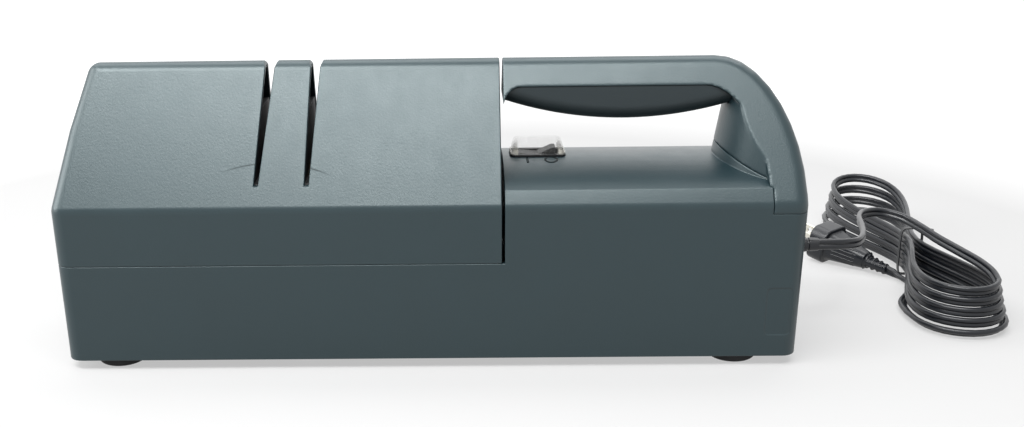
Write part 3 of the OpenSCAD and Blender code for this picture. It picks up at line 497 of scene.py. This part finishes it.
# The switch marks are the deck's slate plastic darkened: painted shade of the raised bar and ring.
SHADED_MARK = Moulded("mark_painted_shade", (0.003, 0.006, 0.007), 0.6, 0.5 * MM, 0.003 * MM, sheen=0.2)
LEAD = Moulded("lead_sheath", (0.004, 0.0055, 0.0085), 0.33, 1.5 * MM, 0.006 * MM)
TIE = Moulded("tie_sheath", (0.006, 0.007, 0.009), 0.42, 1.0 * MM, 0.006 * MM)
WHITE_WIRE = Moulded("white_sheath", (0.66, 0.66, 0.62), 0.4, 1.5 * MM, 0.004 * MM)
RED_WIRE = Moulded("red_sheath", (0.32, 0.01, 0.007), 0.4, 1.5 * MM, 0.004 * MM)
STEEL = Metal("screw_steel", (0.55, 0.56, 0.57), 0.32)
LAMINATE = Metal("stator_sheet", (0.30, 0.31, 0.33), 0.45, (1, 0.1, 0.1), 0.6 * MM, 0.04 * MM)
CASTING = Metal("bracket_casting", (0.60, 0.61, 0.62), 0.5, (1, 1, 1), 1.2 * MM, 0.05 * MM)
BRONZE = Metal("bush_bronze", (0.52, 0.36, 0.16), 0.42)
COPPER = Metal("winding_copper", (0.45, 0.16, 0.06), 0.35, (0.05, 1, 1), 0.7 * MM, 0.15 * MM)
COARSE = Metal("coarse_grit", (0.33, 0.32, 0.29), 0.6, (1, 1, 1), 0.35 * MM, 0.08 * MM)
FINE = Metal("fine_grit", (0.42, 0.39, 0.32), 0.5, (1, 1, 1), 0.2 * MM, 0.04 * MM)
BLADE = Metal("blade_plating", (0.78, 0.76, 0.68), 0.3, (0.3, 1, 1), 0.8 * MM)
# The boot's pale ends are partly its own milky tone, partly painted highlight.
BOOT = ClearBoot("clear_boot", (0.30, 0.30, 0.29), (0.82, 0.80, 0.72), 0.08, 0.05)

SLOT_FINISH = {
    "shell_plastic": SLATE, "grip_plastic": SHADED_GRIP, "inner_plastic": INNER, "foot_rubber": RUBBER, "steel": STEEL,
    "laminations": LAMINATE, "casting": CASTING, "bronze": BRONZE, "coil_wire": COPPER, "gear_plastic": NYLON,
    "coarse_grit": COARSE, "fine_grit": FINE, "switch_black": SWITCH, "clear_boot": BOOT, "cord_black": LEAD,
    "wire_white": WHITE_WIRE, "wire_red": RED_WIRE, "blade_metal": BLADE,
}


class Finishes:
    """Makes each finish's material once."""

    def __init__(self) -> None:
        """Starts with no materials."""
        self.made: dict[str, Material] = {}

    def of(self, finish: Any) -> Material:
        """The material of a finish.

        Args:
            finish: one of the finishes above.

        Returns:
            Its material, made on first use.
        """
        if finish.name not in self.made:
            self.made[finish.name] = finish.material()
        return self.made[finish.name]

    def dress(self, piece: Object, finish: Any) -> None:
        """Gives a piece one finish in all its slots.

        Args:
            piece: the object to dress.
            finish: one of the finishes above.
        """
        material = self.of(finish)
        if not piece.material_slots:
            piece.data.materials.append(material)
        for slot in piece.material_slots:
            slot.material = material


FINISHES = Finishes()


# ---- mesh helpers


def new_piece(name: str, mesh: Mesh) -> Object:
    """Puts a mesh in the scene as an object at the origin.

    Args:
        name: the object's name.
        mesh: its mesh.

    Returns:
        The object.
    """
    piece = bpy.data.objects.new(name, mesh)
    bpy.context.scene.collection.objects.link(piece)
    return piece


def settle(piece: Object) -> None:
    """Applies a piece's modifiers, so that it is a plain mesh.

    Args:
        piece: the object to settle.
    """
    graph = bpy.context.evaluated_depsgraph_get()
    mesh = bpy.data.meshes.new_from_object(piece.evaluated_get(graph), preserve_all_data_layers=True, depsgraph=graph)
    piece.modifiers.clear()
    piece.data = mesh


def smooth(mesh: Mesh, angle: float) -> None:
    """Shades a mesh smooth, apart from edges sharper than angle degrees.

    Args:
        mesh: the mesh to shade.
        angle: the least angle of an edge that stays sharp.
    """
    mesh.polygons.foreach_set("use_smooth", [True] * len(mesh.polygons))
    mesh.set_sharp_from_angle(angle=math.radians(angle))
    mesh.update()


def turn_out(mesh: Mesh, angle: float) -> None:
    """Merges a closed mesh's doubles, points its faces outwards and shades it smooth.

    Args:
        mesh: the mesh to mend.
        angle: the least angle of an edge that stays sharp.
    """
    work = bmesh.new()
    work.from_mesh(mesh)
    bmesh.ops.remove_doubles(work, verts=work.verts, dist=WELD)
    bmesh.ops.recalc_face_normals(work, faces=work.faces)
    work.to_mesh(mesh)
    work.free()
    smooth(mesh, angle)


def mesh_of(name: str, points: Iterable[Vector], faces: Iterable[Sequence[int]]) -> Mesh:
    """A mesh from points and faces.

    Args:
        name: the mesh's name.
        points: its points.
        faces: the indices of each face's points.

    Returns:
        The mesh.
    """
    mesh = bpy.data.meshes.new(name)
    mesh.from_pydata([tuple(p) for p in points], [], [tuple(f) for f in faces])
    mesh.update()
    return mesh


def full_turn(steps: int) -> list[float]:
    """The angles of a full turn in equal steps, in radians."""
    return [2 * math.pi * k / steps for k in range(steps)]


def band_faces(rings: int, count: int) -> list[tuple[int, ...]]:
    """Joins closed rings of points into a closed band, the last ring to the first.

    Args:
        rings: how many rings there are.
        count: the points of each ring.

    Returns:
        The indices of each face's points.
    """
    faces = []
    for here in range(rings):
        low, high = here * count, (here + 1) % rings * count
        faces += [(low + k, low + (k + 1) % count, high + (k + 1) % count, high + k) for k in range(count)]
    return faces


# ---- moulded shells


@dataclass
class MouldedPart:
    """A rigid moulding: the frame's own surface, with its edges rounded as a mould rounds them."""

    node: str
    name: str
    body: Rides
    finish: Any
    slot: str
    edge: float = 0.6 * MM
    steps: int = 3
    sharp: float = 34
    flat: float = 0.6
    stray: float = 0.45

    def build(self) -> Object:
        """Copies the frame's mesh, merges it and rounds its edges.

        Returns:
            The finished piece.
        """
        mesh = frame["nodes"][self.node].data.copy()
        mesh.materials.clear()
        work = bmesh.new()
        work.from_mesh(mesh)
        bmesh.ops.remove_doubles(work, verts=work.verts, dist=WELD)
        bmesh.ops.dissolve_limit(work, angle_limit=math.radians(self.flat), verts=work.verts, edges=work.edges)
        work.to_mesh(mesh)
        work.free()
        piece = new_piece(self.name, mesh)
        self.soften(piece)
        smooth(piece.data, self.sharp)
        weigh = piece.modifiers.new("even", "WEIGHTED_NORMAL")
        weigh.keep_sharp = True
        weigh.weight = 60
        settle(piece)
        FINISHES.dress(piece, self.finish)
        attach(piece, self.body.value)
        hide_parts(self.node)
        return piece

    def soften(self, piece: Object) -> None:
        """Rounds the sharp edges with narrow bevels.

        Args:
            piece: the object to soften.
        """
        mesh = piece.data
        solid = BVHTree.FromPolygons([v.co for v in mesh.vertices], [p.vertices for p in mesh.polygons])
        bevel = piece.modifiers.new("edge", "BEVEL")
        bevel.width = self.edge
        bevel.segments = self.steps
        bevel.limit_method = "ANGLE"
        bevel.angle_limit = math.radians(self.sharp)
        bevel.use_clamp_overlap = False
        bevel.harden_normals = False
        settle(piece)
        self.hug(piece.data, solid)

    def hug(self, mesh: Mesh, solid: BVHTree) -> None:
        """Draws points that a rounded edge threw off the solid back onto it.

        Args:
            mesh: the rounded surface.
            solid: the surface before its edges were rounded.
        """
        for vertex in mesh.vertices:
            nearest, _, _, gap = solid.find_nearest(vertex.co)
            if gap > self.edge * self.stray:
                vertex.co = nearest
        mesh.update()


@dataclass
class SoftMoulding(MouldedPart):
    """A moulding whose edges are worn round all over, apart from its flat seams."""

    grain: float = 0.6 * MM
    passes: int = 14
    seam: float = 3.0 * MM

    def soften(self, piece: Object) -> None:
        """Lays an even net over the solid and relaxes it, less and less towards the seams.

        Args:
            piece: the object to soften.
        """
        low, high = (Vector(corner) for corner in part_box(self.node))
        net = piece.modifiers.new("net", "REMESH")
        net.mode = "VOXEL"
        net.voxel_size = self.grain
        settle(piece)
        loose = piece.vertex_groups.new(name="loose")
        for vertex in piece.data.vertices:
            place = vertex.co
            free = min(place.x - low.x, place.z - low.z) / self.seam
            loose.add([vertex.index], min(1.0, max(0.0, free)), "REPLACE")
        relax = piece.modifiers.new("relax", "SMOOTH")
        relax.factor = 0.5
        relax.iterations = self.passes
        relax.vertex_group = "loose"
        settle(piece)
        piece.vertex_groups.clear()


MOULDINGS = (
    MouldedPart("module_cover", "module_shell", Rides.MODULE, RUBBED, "shell_plastic", 0.7 * MM),
    MouldedPart("base_housing", "base_shell", Rides.BASE, PANELLED, "shell_plastic", 0.4 * MM),
    SoftMoulding("handle", "carry_handle", Rides.BASE, SLATE, "shell_plastic", sharp=60),
    MouldedPart("finger_grip", "grip_pad", Rides.BASE, SHADED_GRIP, "grip_plastic", 0.5 * MM),
    MouldedPart("switch_body", "switch_frame", Rides.BASE, SWITCH, "switch_black", 0.3 * MM),
    MouldedPart("switch_rocker", "rocker_cap", Rides.ROCKER, SWITCH, "switch_black", 0.5 * MM),
    MouldedPart("strain_relief", "lead_relief", Rides.BASE, LEAD, "cord_black", 0.25 * MM),
    MouldedPart("plug_body", "plug_moulding", Rides.BASE, LEAD, "cord_black", 1.2 * MM),
    MouldedPart("plug_blades", "plug_prongs", Rides.BASE, BLADE, "blade_metal", 0.25 * MM),
)


# ---- switch marks


@dataclass
class SwitchMarks:
    """The raised bar and ring that mark the switch's two positions on the deck."""

    deck_top: float = 109.2 * MM
    deck_radius: float = 125 * MM
    rise: float = 0.35 * MM
    bar_at: Pair = (54.9 * MM, -9.6 * MM)
    bar_size: Pair = (1.2 * MM, 8.6 * MM)
    ring_at: Pair = (68 * MM, -9.2 * MM)
    ring_radii: Pair = (3.9 * MM, 5.0 * MM)
    stroke: float = 1.2 * MM
    shoulder: float = 0.15 * MM
    sunk: float = -0.2 * MM
    bar_crest: Pair = (0.2, 0.9)
    steps: int = 40

    def deck(self, y: float) -> float:
        """Height of the arched deck at a distance from its middle."""
        return self.deck_top - self.deck_radius + math.sqrt(self.deck_radius ** 2 - y * y)

    def band(self, name: str, inner: Sequence[Vector], outer: Sequence[Vector]) -> Object:
        """A low raised band between two closed outlines on the deck.

        Args:
            name: the piece's name.
            inner: the inner outline, seen from above.
            outer: the outer outline, with as many points.

        Returns:
            The piece.
        """
        mid = [(a + b) / 2 for a, b in zip(inner, outer)]
        foot, side = self.sunk, self.shoulder
        rings = [(outer, foot), (outer, side), (mid, self.rise), (inner, side), (inner, foot)]
        points = [Vector((p.x, p.y, self.deck(p.y) + rise)) for ring, rise in rings for p in ring]
        mesh = mesh_of(name, points, band_faces(len(rings), len(inner)))
        turn_out(mesh, 60)
        piece = new_piece(name, mesh)
        # The marks' dark colour is painted shade of their raised forms, not a plastic of their own.
        FINISHES.dress(piece, SHADED_MARK)
        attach(piece, Rides.BASE.value)
        return piece

    def oval(self, cut: float) -> list[Vector]:
        """The ring's outline, cut inwards."""
        (x, y), (wide, long) = self.ring_at, self.ring_radii
        return [Vector((x + (wide - cut) * math.cos(a), y + (long - cut) * math.sin(a))) for a in full_turn(self.steps)]

    def capsule(self, w: float, l: float) -> list[Vector]:
        """The bar's outline, with round ends, from half its width and half its length.

        Args:
            w: half the width.
            l: half the length.

        Returns:
            The outline.
        """
        x, y = self.bar_at
        return [
            Vector((x + w * math.cos(a), y + math.copysign(l - w, math.sin(a)) + w * math.sin(a)))
            for a in full_turn(self.steps)
        ]

    def build(self) -> list[Object]:
        """Makes the ring and the bar.

        Returns:
            Both pieces.
        """
        ring = self.band("off_ring", self.oval(self.stroke), self.oval(0.0))
        half_w, half_l = self.bar_size[0] / 2, self.bar_size[1] / 2
        crest = self.capsule(half_w * self.bar_crest[0], half_l * self.bar_crest[1])
        return [ring, self.band("on_bar", crest, self.capsule(half_w, half_l))]


# ---- mains lead


@dataclass(frozen=True)
class Plug:
    """Where the plug lies, in millimetres and degrees, as in part.scad."""

    face: Place = (262, 128, 14)
    turn: float = -49.6
    tilt: float = 9.5
    length: float = 53

    @property
    def axis(self) -> Vector:
        """The direction from the blades to the lead."""
        turn, tilt = math.radians(self.turn), math.radians(self.tilt)
        return Vector((math.cos(tilt) * math.cos(turn), math.cos(tilt) * math.sin(turn), -math.sin(tilt)))

    @property
    def aside(self) -> Vector:
        """The level direction across the plug."""
        turn = math.radians(self.turn)
        return Vector((-math.sin(turn), math.cos(turn), 0))


PLUG = Plug()


@dataclass
class MainsLead:
    """The twin-core lead: from the strain relief over the hank to the plug."""

    width: float = 6.2
    thickness: float = 3.2
    relief_tip: Place = (222.04, 0.0, 54.5)
    start: tuple[Place, ...] = (
        (229.04, 0, 54.5), (238, 1.5, 54), (248, 9, 52.5), (256, 25, 51), (263, 48, 48.5), (269, 72, 46),
        (277, 87.5, 44.5), (290, 94, 43), (303, 88.5, 40.5), (310, 76, 38), (315, 60, 36), (322, 42, 34),
        (328.5, 29, 31.5), (332, 18.5, 28.8),
    )
    tail: tuple[Place, ...] = ((288, 36, 2.9), (299, 54, 2.6), (304, 68, 2.6), (303, 77, 2.8))
    waist: Pair = (311.5, 94)
    turn: float = 0.3
    near: float = 107
    far: float = 125
    waist_w: float = 3.4
    lobe_w: float = 66
    soft: float = 0.25
    tie: float = 1.5
    low: float = 4.0
    pitch: float = 5.8
    lift: float = 14
    narrow: float = 0.05
    short: float = 0.015
    loops: int = 4
    first: float = 150
    last: float = 225
    rings: int = 60
    step: float = 5.0
    climb_from: float = 0.52
    climb_over: float = 0.4
    inside: float = 2
    fineness: int = 8
    lie_down: float = 5.0
    lie_over: float = 1.6
    stand: float = 80
    floor_stand: float = 36
    valley: float = 0.56
    outline: int = 36
    sways: tuple[Place, ...] = ((7, 21, 0), (5, 47, 1))
    points: list[Vector] = field(default_factory=list)

    @property
    def turns(self) -> float:
        """Loops of the hank, with the part loop."""
        return self.loops + (self.last - self.first) / 360

    def hank_point(self, angle: float) -> Vector:
        """A point of the hank's centreline, in millimetres.

        Args:
            angle: degrees wound, with 90 at the waist on the side away from the plug.

        Returns:
            The point.
        """
        c, s = math.cos(math.radians(angle)), math.sin(math.radians(angle))
        whole = math.floor(angle / 360)
        rise = min(1.0, max(0.0, ((angle / 360 - whole) - self.climb_from) / self.climb_over))
        top = self.turns - (whole + rise * rise * (3 - 2 * rise))
        along = (self.far if c > 0 else self.near) * c * (1 - self.short * top)
        lobe = math.sqrt(c * c + self.soft ** 2) - self.soft
        across = s * (self.waist_w + self.lobe_w * (1 - self.narrow * top) * lobe)
        height = self.low + self.pitch * top - self.tie * c * c
        if c > 0:
            height += self.lift * c * c * top / self.turns
        ct, st = math.cos(math.radians(self.turn)), math.sin(math.radians(self.turn))
        return Vector((self.waist[0] + across * ct - along * st, self.waist[1] + across * st + along * ct, height))

    @staticmethod
    def spline(route: Sequence[Vector], count: int) -> list[Vector]:
        """A smooth curve through a route, with count points a stretch.

        Args:
            route: the points that it passes.
            count: the points of each stretch.

        Returns:
            The curve's points.
        """
        out: list[Vector] = []
        for i in range(len(route) - 1):
            a, b = route[max(i - 1, 0)], route[i]
            c, d = route[i + 1], route[min(i + 2, len(route) - 1)]
            slope, bend, twist = c - a, 2 * a - 5 * b + 4 * c - d, 3 * b - a - 3 * c + d
            for k in range(count):
                t = k / count
                out.append(0.5 * (2 * b + slope * t + bend * t * t + twist * t ** 3))
        return out + [route[-1]]

    def route(self) -> list[Vector]:
        """The whole centreline from the strain relief to the plug, in metres.

        Returns:
            The points of it.
        """
        count = round(self.turns * self.rings)
        hank = [self.hank_point(self.first + i * 360 / self.rings) for i in range(count + 1)]
        outward = (hank[-1] - hank[-2]).normalized()
        axis = PLUG.axis
        plug_end = Vector(PLUG.face) + PLUG.length * axis
        start = [*(Vector(p) for p in self.start), hank[0]]
        tail = [hank[-1] + self.step * outward, *(Vector(p) for p in self.tail), plug_end + self.step * axis]
        lead = [Vector(self.relief_tip) - Vector((self.inside, 0, 0)), Vector(self.relief_tip)]
        lead += self.spline(start, self.fineness)[:-1] + hank + self.spline(tail, self.fineness)
        lead += [plug_end, plug_end - self.inside * axis]
        return [p * MM for p in lead]

    def leans(self) -> list[float]:
        """How far the lead stands on its edge at each point, in radians: it lies down on the floor.

        Returns:
            The lean of each point.
        """
        out, run = [], 0.0
        for before, here in zip([self.points[0], *self.points], self.points):
            run += (here - before).length
            low = min(1.0, max(0.0, (self.lie_down - here.z / MM) / self.lie_over))
            sway = (1 - low) * sum(size * math.sin(run * pace + phase) for size, pace, phase in self.sways)
            out.append(math.radians(self.stand - (self.stand - self.floor_stand) * low * low * (3 - 2 * low) + sway))
        return out

    def sweep(self) -> Object:
        """Sweeps a twin-lobed outline along the centreline, turning as the lead leans.

        Returns:
            The lead's surface.
        """
        count = len(self.points)
        mesh = bpy.data.meshes.new("mains_lead")
        mesh.from_pydata([tuple(p) for p in self.points], [(i, i + 1) for i in range(count - 1)], [])
        mesh.attributes.new("lean", "FLOAT", "POINT").data.foreach_set("value", self.leans())
        piece = new_piece("mains_lead", mesh)
        half = self.thickness / 2
        tree = GrowthTree("lead_sweep", {
            "Core Radius": half * MM, "Core Reach": (self.width / 2 - half) * MM, "Valley": self.valley})
        radius, reach = tree.size("Core Radius"), tree.size("Core Reach")
        line = tree.flow("GeometryNodeMeshToCurve", None, Mesh=tree.size("Geometry"))
        line = tree.flow("GeometryNodeSetCurveNormal", {"mode": "Z_UP"}, Curve=line)
        lean = tree.flow("GeometryNodeInputNamedAttribute", {"data_type": "FLOAT"}, Name="lean")
        line = tree.flow("GeometryNodeSetCurveTilt", None, Curve=line, Tilt=lean)
        ring = tree.circle(self.outline, 1.0)
        x, y, _ = tree.axes(tree.flow("GeometryNodeInputPosition"))
        along = (radius + reach) * x
        off = (abs(along) - reach) / radius
        lobe = (1 - (off * off).at_most(1)) ** 0.5
        inside = 1 - off.above(0)
        thick = lobe.at_least(inside * tree.size("Valley")) * radius
        side = y.sign()
        ring = tree.flow("GeometryNodeSetPosition", None, Geometry=ring, Position=tree.vector(along, thick * side, 0))
        tree.grow(piece, tree.skin(line, ring), FINISHES.of(LEAD))
        turn_out(piece.data, 50)
        return piece

    def build(self, on_it: Sequence[Object]) -> Object:
        """Args:
            on_it: the separate pieces on the lead; not used.

        Returns:
            The lead.
        """
        self.points = self.route()
        piece = self.sweep()
        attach(piece, Rides.BASE.value)
        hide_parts("power_cord", "cord_hank", "cord_tail")
        return piece


@dataclass
class TwistTie:
    """The twisted wire tie round the hank's waist."""

    width: float = 3.0
    thick: float = 0.35 * MM
    inset: float = 0.4 * MM
    square: float = 0.35
    steps: int = 72

    def build(self) -> Object:
        """Makes a flat loop round the strands.

        Returns:
            The tie.
        """
        low, high = (Vector(c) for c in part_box("cord_tie"))
        middle = (low + high) / 2
        half = (high - low) / 2
        outline = []
        for a in full_turn(self.steps):
            c, s = math.cos(a), math.sin(a)
            outline.append(Vector((
                math.copysign(abs(c) ** self.square, c) * (half.x - self.inset),
                math.copysign(abs(s) ** self.square, s) * (half.z - self.inset))))
        side, out = self.width / 2, self.thick
        rings = [(-side, out), (side, out), (side, -out), (-side, -out)]
        points = []
        for y, out in rings:
            for p in outline:
                away = Vector((p.x / half.x, p.y / half.z)).normalized() * out
                points.append(middle + Vector((p.x + away.x, y * MM, p.y + away.y)))
        mesh = mesh_of("twist_tie", points, band_faces(len(rings), self.steps))
        turn_out(mesh, 40)
        piece = new_piece("twist_tie", mesh)
        FINISHES.dress(piece, TIE)
        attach(piece, Rides.BASE.value)
        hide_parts("cord_tie")
        return piece


@dataclass
class TieEnd:
    """The two wires of the tie, twisted together where they leave the band."""

    reach: float = 7 * MM
    twist: float = 0.75 * MM
    wire: float = 0.5 * MM
    turns: float = 4.5
    steps: int = 90
    taper: float = 0.3
    root_in: Pair = (1.2 * MM, 1.4 * MM)
    lean: Place = (0.90, -0.42, 0.05)

    def strand(self, tree: GrowthTree, line: Wire, factor: Wire, phase: float) -> Wire:
        """One wire wound round the line.

        Args:
            tree: the tree that grows the wires.
            line: the straight line between them.
            factor: how far along the line each point is.
            phase: where on the turn the wire starts, in radians.

        Returns:
            The wire's skin.
        """
        angle = factor * tree.size("Turns") * (2 * math.pi) + phase
        wide = tree.size("Twist") * (1 - factor * self.taper)
        offset = tree.vector(0.0, angle.cosine() * wide, angle.sine() * wide)
        wound = tree.flow("GeometryNodeSetPosition", None, Geometry=line, Offset=offset)
        return tree.skin(wound, tree.circle(8, tree.size("Wire")))

    def build(self) -> Object:
        """Makes the twisted end, which leans over the strands.

        Returns:
            The piece.
        """
        piece = new_piece("tie_end", mesh_of("tie_end", [], []))
        tree = GrowthTree("tie_twist", {"Turns": self.turns, "Twist": self.twist, "Wire": self.wire})
        end = tree.vector(self.reach, 0.0, 0.0)
        line = tree.flow("GeometryNodeCurvePrimitiveLine", None, End=end)
        line = tree.flow("GeometryNodeResampleCurve", None, Curve=line, Count=self.steps)
        factor = tree.wire(tree.add("GeometryNodeSplineParameter"), "Factor")
        both = tree.add("GeometryNodeJoinGeometry")
        for phase in (0.0, math.pi):
            tree.join(self.strand(tree, line, factor, phase), both.inputs[0])
        tree.grow(piece, tree.wire(both), FINISHES.of(TIE))
        low, high = (Vector(corner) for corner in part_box("cord_tie"))
        root = Vector((high.x - self.root_in[0], (low.y + high.y) / 2, high.z - self.root_in[1]))
        lean = Vector(self.lean).to_track_quat("X", "Z").to_matrix().to_4x4()
        piece.data.transform(Matrix.Translation(root) @ lean)
        turn_out(piece.data, 50)
        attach(piece, Rides.BASE.value)
        return piece


@dataclass
class PlugGrip:
    """The finger ribs along both flat sides of the plug's body."""

    first: float = 16
    last: float = 33
    heights: tuple[float, ...] = (-5.4, -2.7, 0.0, 2.7, 5.4)
    radius: float = 0.75
    steps: int = 12
    sunk: float = 0.55
    end_sunk: float = 1.2
    eye_off: float = 40

    def rails(self) -> tuple[list[Vector], list[tuple[int, int]]]:
        """Lines over the plug's sides, found by looking at its surface from outside.

        Returns:
            The points and the edges between them.
        """
        mesh = frame["nodes"]["plug_body"].data
        skin = BVHTree.FromPolygons([v.co for v in mesh.vertices], [p.vertices for p in mesh.polygons])
        axis, aside = PLUG.axis, PLUG.aside
        upright = axis.cross(aside)
        points: list[Vector] = []
        edges: list[tuple[int, int]] = []
        for side in (1, -1):
            for height in self.heights:
                start = len(points)
                for k in range(self.steps + 1):
                    along = self.first + (self.last - self.first) * k / self.steps
                    eye = (Vector(PLUG.face) + axis * along + upright * height + aside * side * self.eye_off) * MM
                    hit, normal, _, _ = skin.ray_cast(eye, aside * -side)
                    if hit is None:
                        break
                    dive = self.sunk if 0 < k < self.steps else self.end_sunk
                    points.append(hit - normal * self.radius * dive * MM)
                edges += [(i, i + 1) for i in range(start, len(points) - 1)]
        return points, edges

    def build(self) -> Object:
        """Sweeps a rib along each line.

        Returns:
            The ribs as one piece.
        """
        points, edges = self.rails()
        mesh = bpy.data.meshes.new("plug_ribs")
        mesh.from_pydata([tuple(p) for p in points], edges, [])
        piece = new_piece("plug_ribs", mesh)
        tree = GrowthTree("plug_rib_sweep", {"Rib Radius": self.radius * MM})
        line = tree.flow("GeometryNodeMeshToCurve", None, Mesh=tree.size("Geometry"))
        skin = tree.skin(line, tree.circle(10, tree.size("Rib Radius")))
        tree.grow(piece, skin, FINISHES.of(LEAD))
        turn_out(piece.data, 50)
        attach(piece, Rides.BASE.value)
        return piece


# ---- studio


@dataclass(frozen=True)
class Lamp:
    """A soft rectangular lamp: where it hangs, the point it faces, its two sides and its watts."""

    name: str
    at: Place
    aim: Place
    size: Pair
    power: float

    def hang(self) -> None:
        """Puts the lamp in the scene.

        It is turned so that its face looks at the point it aims at.
        """
        data = bpy.data.lights.new(self.name, "AREA")
        data.shape = "RECTANGLE"
        data.size, data.size_y = self.size
        data.energy = self.power
        lamp = bpy.data.objects.new(self.name, data)
        lamp.location = self.at
        lamp.rotation_euler = (Vector(self.aim) - Vector(self.at)).to_track_quat("-Z", "Y").to_euler()
        bpy.context.scene.collection.objects.link(lamp)


LAMPS = (
    Lamp("front_softbox", (-0.35, -0.56, 1.12), (-0.05, 0, 0.1), (1.25, 0.34), 22),
    Lamp("right_softbox", (0.35, -0.56, 1.12), (0.18, 0, 0.12), (0.3, 0.3), 3.5),
    Lamp("side_panel", (-1.5, -0.1, 0.7), (0, 0, 0.1), (1.0, 1.0), 18),
    Lamp("top_softbox", (0.0, 0.7, 1.5), (0, 0, 0.1), (2.6, 0.9), 22),
    Lamp("back_panel", (0.0, 2.4, 0.8), (0, 0, 0.1), (4.5, 1.5), 14),
)


@dataclass
class Studio:
    """Camera, surround, floor and lamps."""

    width: int = 1024
    height: int = 427
    focal_px: float = 1210.013
    centre_px: Pair = (438.546, 213.985)
    eye: Place = (0.017568, -0.657914, 0.285779)
    pitch: float = 17.774
    yaw: float = -1.102
    roll: float = 0.882
    sensor: float = 36.0
    clip: float = 0.01
    soft_colour: Colour = (0.93, 0.97, 1.0)
    soft_strength: float = 0.05
    floor_half: float = 6.0
    paper: Colour = (0.25, 0.25, 0.25)
    glow_from: float = 0.24
    glow_rise: float = 2.0
    glow_least: float = 0.5

    def camera(self) -> None:
        """Sets the camera that the photograph was taken with.

        Its place, turn, lens and shift come from a fit to the outline in the photograph.
        """
        p, y, r = (math.radians(a) for a in (self.pitch, self.yaw, self.roll))
        ahead = Vector((math.sin(y) * math.cos(p), math.cos(y) * math.cos(p), -math.sin(p)))
        right = Vector((math.cos(y), -math.sin(y), 0))
        up = right.cross(ahead)
        x_axis = right * math.cos(r) - up * math.sin(r)
        y_axis = right * math.sin(r) + up * math.cos(r)
        data = bpy.data.cameras.new("photo_camera")
        data.sensor_width = self.sensor
        data.lens = self.focal_px / self.width * self.sensor
        data.shift_x = (self.width / 2 - self.centre_px[0]) / self.width
        data.shift_y = (self.centre_px[1] - self.height / 2) / self.width
        data.clip_start = self.clip
        camera = bpy.data.objects.new("photo_camera", data)
        camera.matrix_world = Matrix.Translation(self.eye) @ Matrix((x_axis, y_axis, -ahead)).transposed().to_4x4()
        bpy.context.scene.collection.objects.link(camera)
        bpy.context.scene.camera = camera

    @staticmethod
    def seen(tree: NodeTree) -> Wire:
        """Finds the rays that show the background: camera, glossy and transmission rays.

        Args:
            tree: the tree that gets the nodes.

        Returns:
            A wire that is 1 on those rays and 0 on others.
        """
        path = tree.add("ShaderNodeLightPath")
        camera, glossy, through = (tree.wire(path, f"Is {kind} Ray") for kind in ("Camera", "Glossy", "Transmission"))
        return camera.at_least(glossy).at_least(through)

    def world(self) -> None:
        """A white surround that is seen, mirrored and seen through, and a soft grey one for the light.

        The white one so adds no diffuse light to the object.
        """
        world = bpy.data.worlds.new("studio")
        world.use_nodes = True
        world.node_tree.nodes.clear()
        tree = NodeTree(world.node_tree)
        soft = tree.add("ShaderNodeBackground", None, Color=(*self.soft_colour, 1), Strength=self.soft_strength)
        back = tree.add("ShaderNodeBackground", None, Color=(1, 1, 1, 1), Strength=1.0)
        mix = tree.add("ShaderNodeMixShader")
        for value, socket in zip((self.seen(tree), tree.wire(soft), tree.wire(back)), mix.inputs):
            tree.join(value, socket)
        tree.add("ShaderNodeOutputWorld", None, Surface=tree.wire(mix))
        bpy.context.scene.world = world

    def floor(self) -> None:
        """A white floor that keeps the object's shadow.

        The paper takes the light and the shadow, and a glow on the seen rays makes it white.
        """
        half = self.floor_half
        corners = [Vector((x * half, y * half, 0)) for x, y in ((-1, -1), (1, -1), (1, 1), (-1, 1))]
        floor = new_piece("floor", mesh_of("floor", corners, [(0, 1, 2, 3)]))
        tree = ShaderTree("white_floor")
        paper = tree.add("ShaderNodeBsdfDiffuse", None, Color=(*self.paper, 1))
        reach = tree.wire(tree.add("ShaderNodeVectorMath", {"operation": "LENGTH"}, Vector=tree.place()), "Value")
        far = ((reach - self.glow_from) * self.glow_rise).at_least(self.glow_least).at_most(1.0)
        glow = tree.add("ShaderNodeEmission", None, Color=(1, 1, 1, 1), Strength=self.seen(tree) * far)
        both = tree.add("ShaderNodeAddShader")
        for shader, socket in zip((paper, glow), both.inputs):
            tree.join(tree.wire(shader), socket)
        floor.data.materials.append(tree.finish(both))

    def build(self) -> None:
        """Sets the whole studio.

        The view stays plain, so that a colour renders about as it is written.
        """
        self.camera()
        self.world()
        self.floor()
        for lamp in LAMPS:
            lamp.hang()
        bpy.context.scene.view_settings.view_transform = "Standard"


# ---- main


def dress_frame() -> None:
    """Gives every node of the frame the finish of its slot.

    A node that the frame no longer holds is passed over.
    """
    for entry in frame["record"]["subparts"]:
        piece = frame["nodes"].get(entry["node"])
        if piece is not None:
            FINISHES.dress(piece, SLOT_FINISH[entry["material_slot"]])


def main() -> None:
    """Builds the scene and reports each piece.
    """
    logging.basicConfig(level=logging.INFO, format="%(message)s")
    Studio().build()
    dress_frame()
    made = {part.node: part.build() for part in MOULDINGS}
    marks = SwitchMarks().build()
    tie = TwistTie().build()
    tie_end = TieEnd().build()
    ribs = PlugGrip().build()
    lead = MainsLead().build([made["strain_relief"], made["plug_body"], made["plug_blades"], ribs, tie, tie_end])
    for piece in [*made.values(), *marks, tie, tie_end, ribs, lead]:
        LOG.info("%s: %d faces", piece.name, len(piece.data.polygons))


if __name__ == "__main__":
    main()
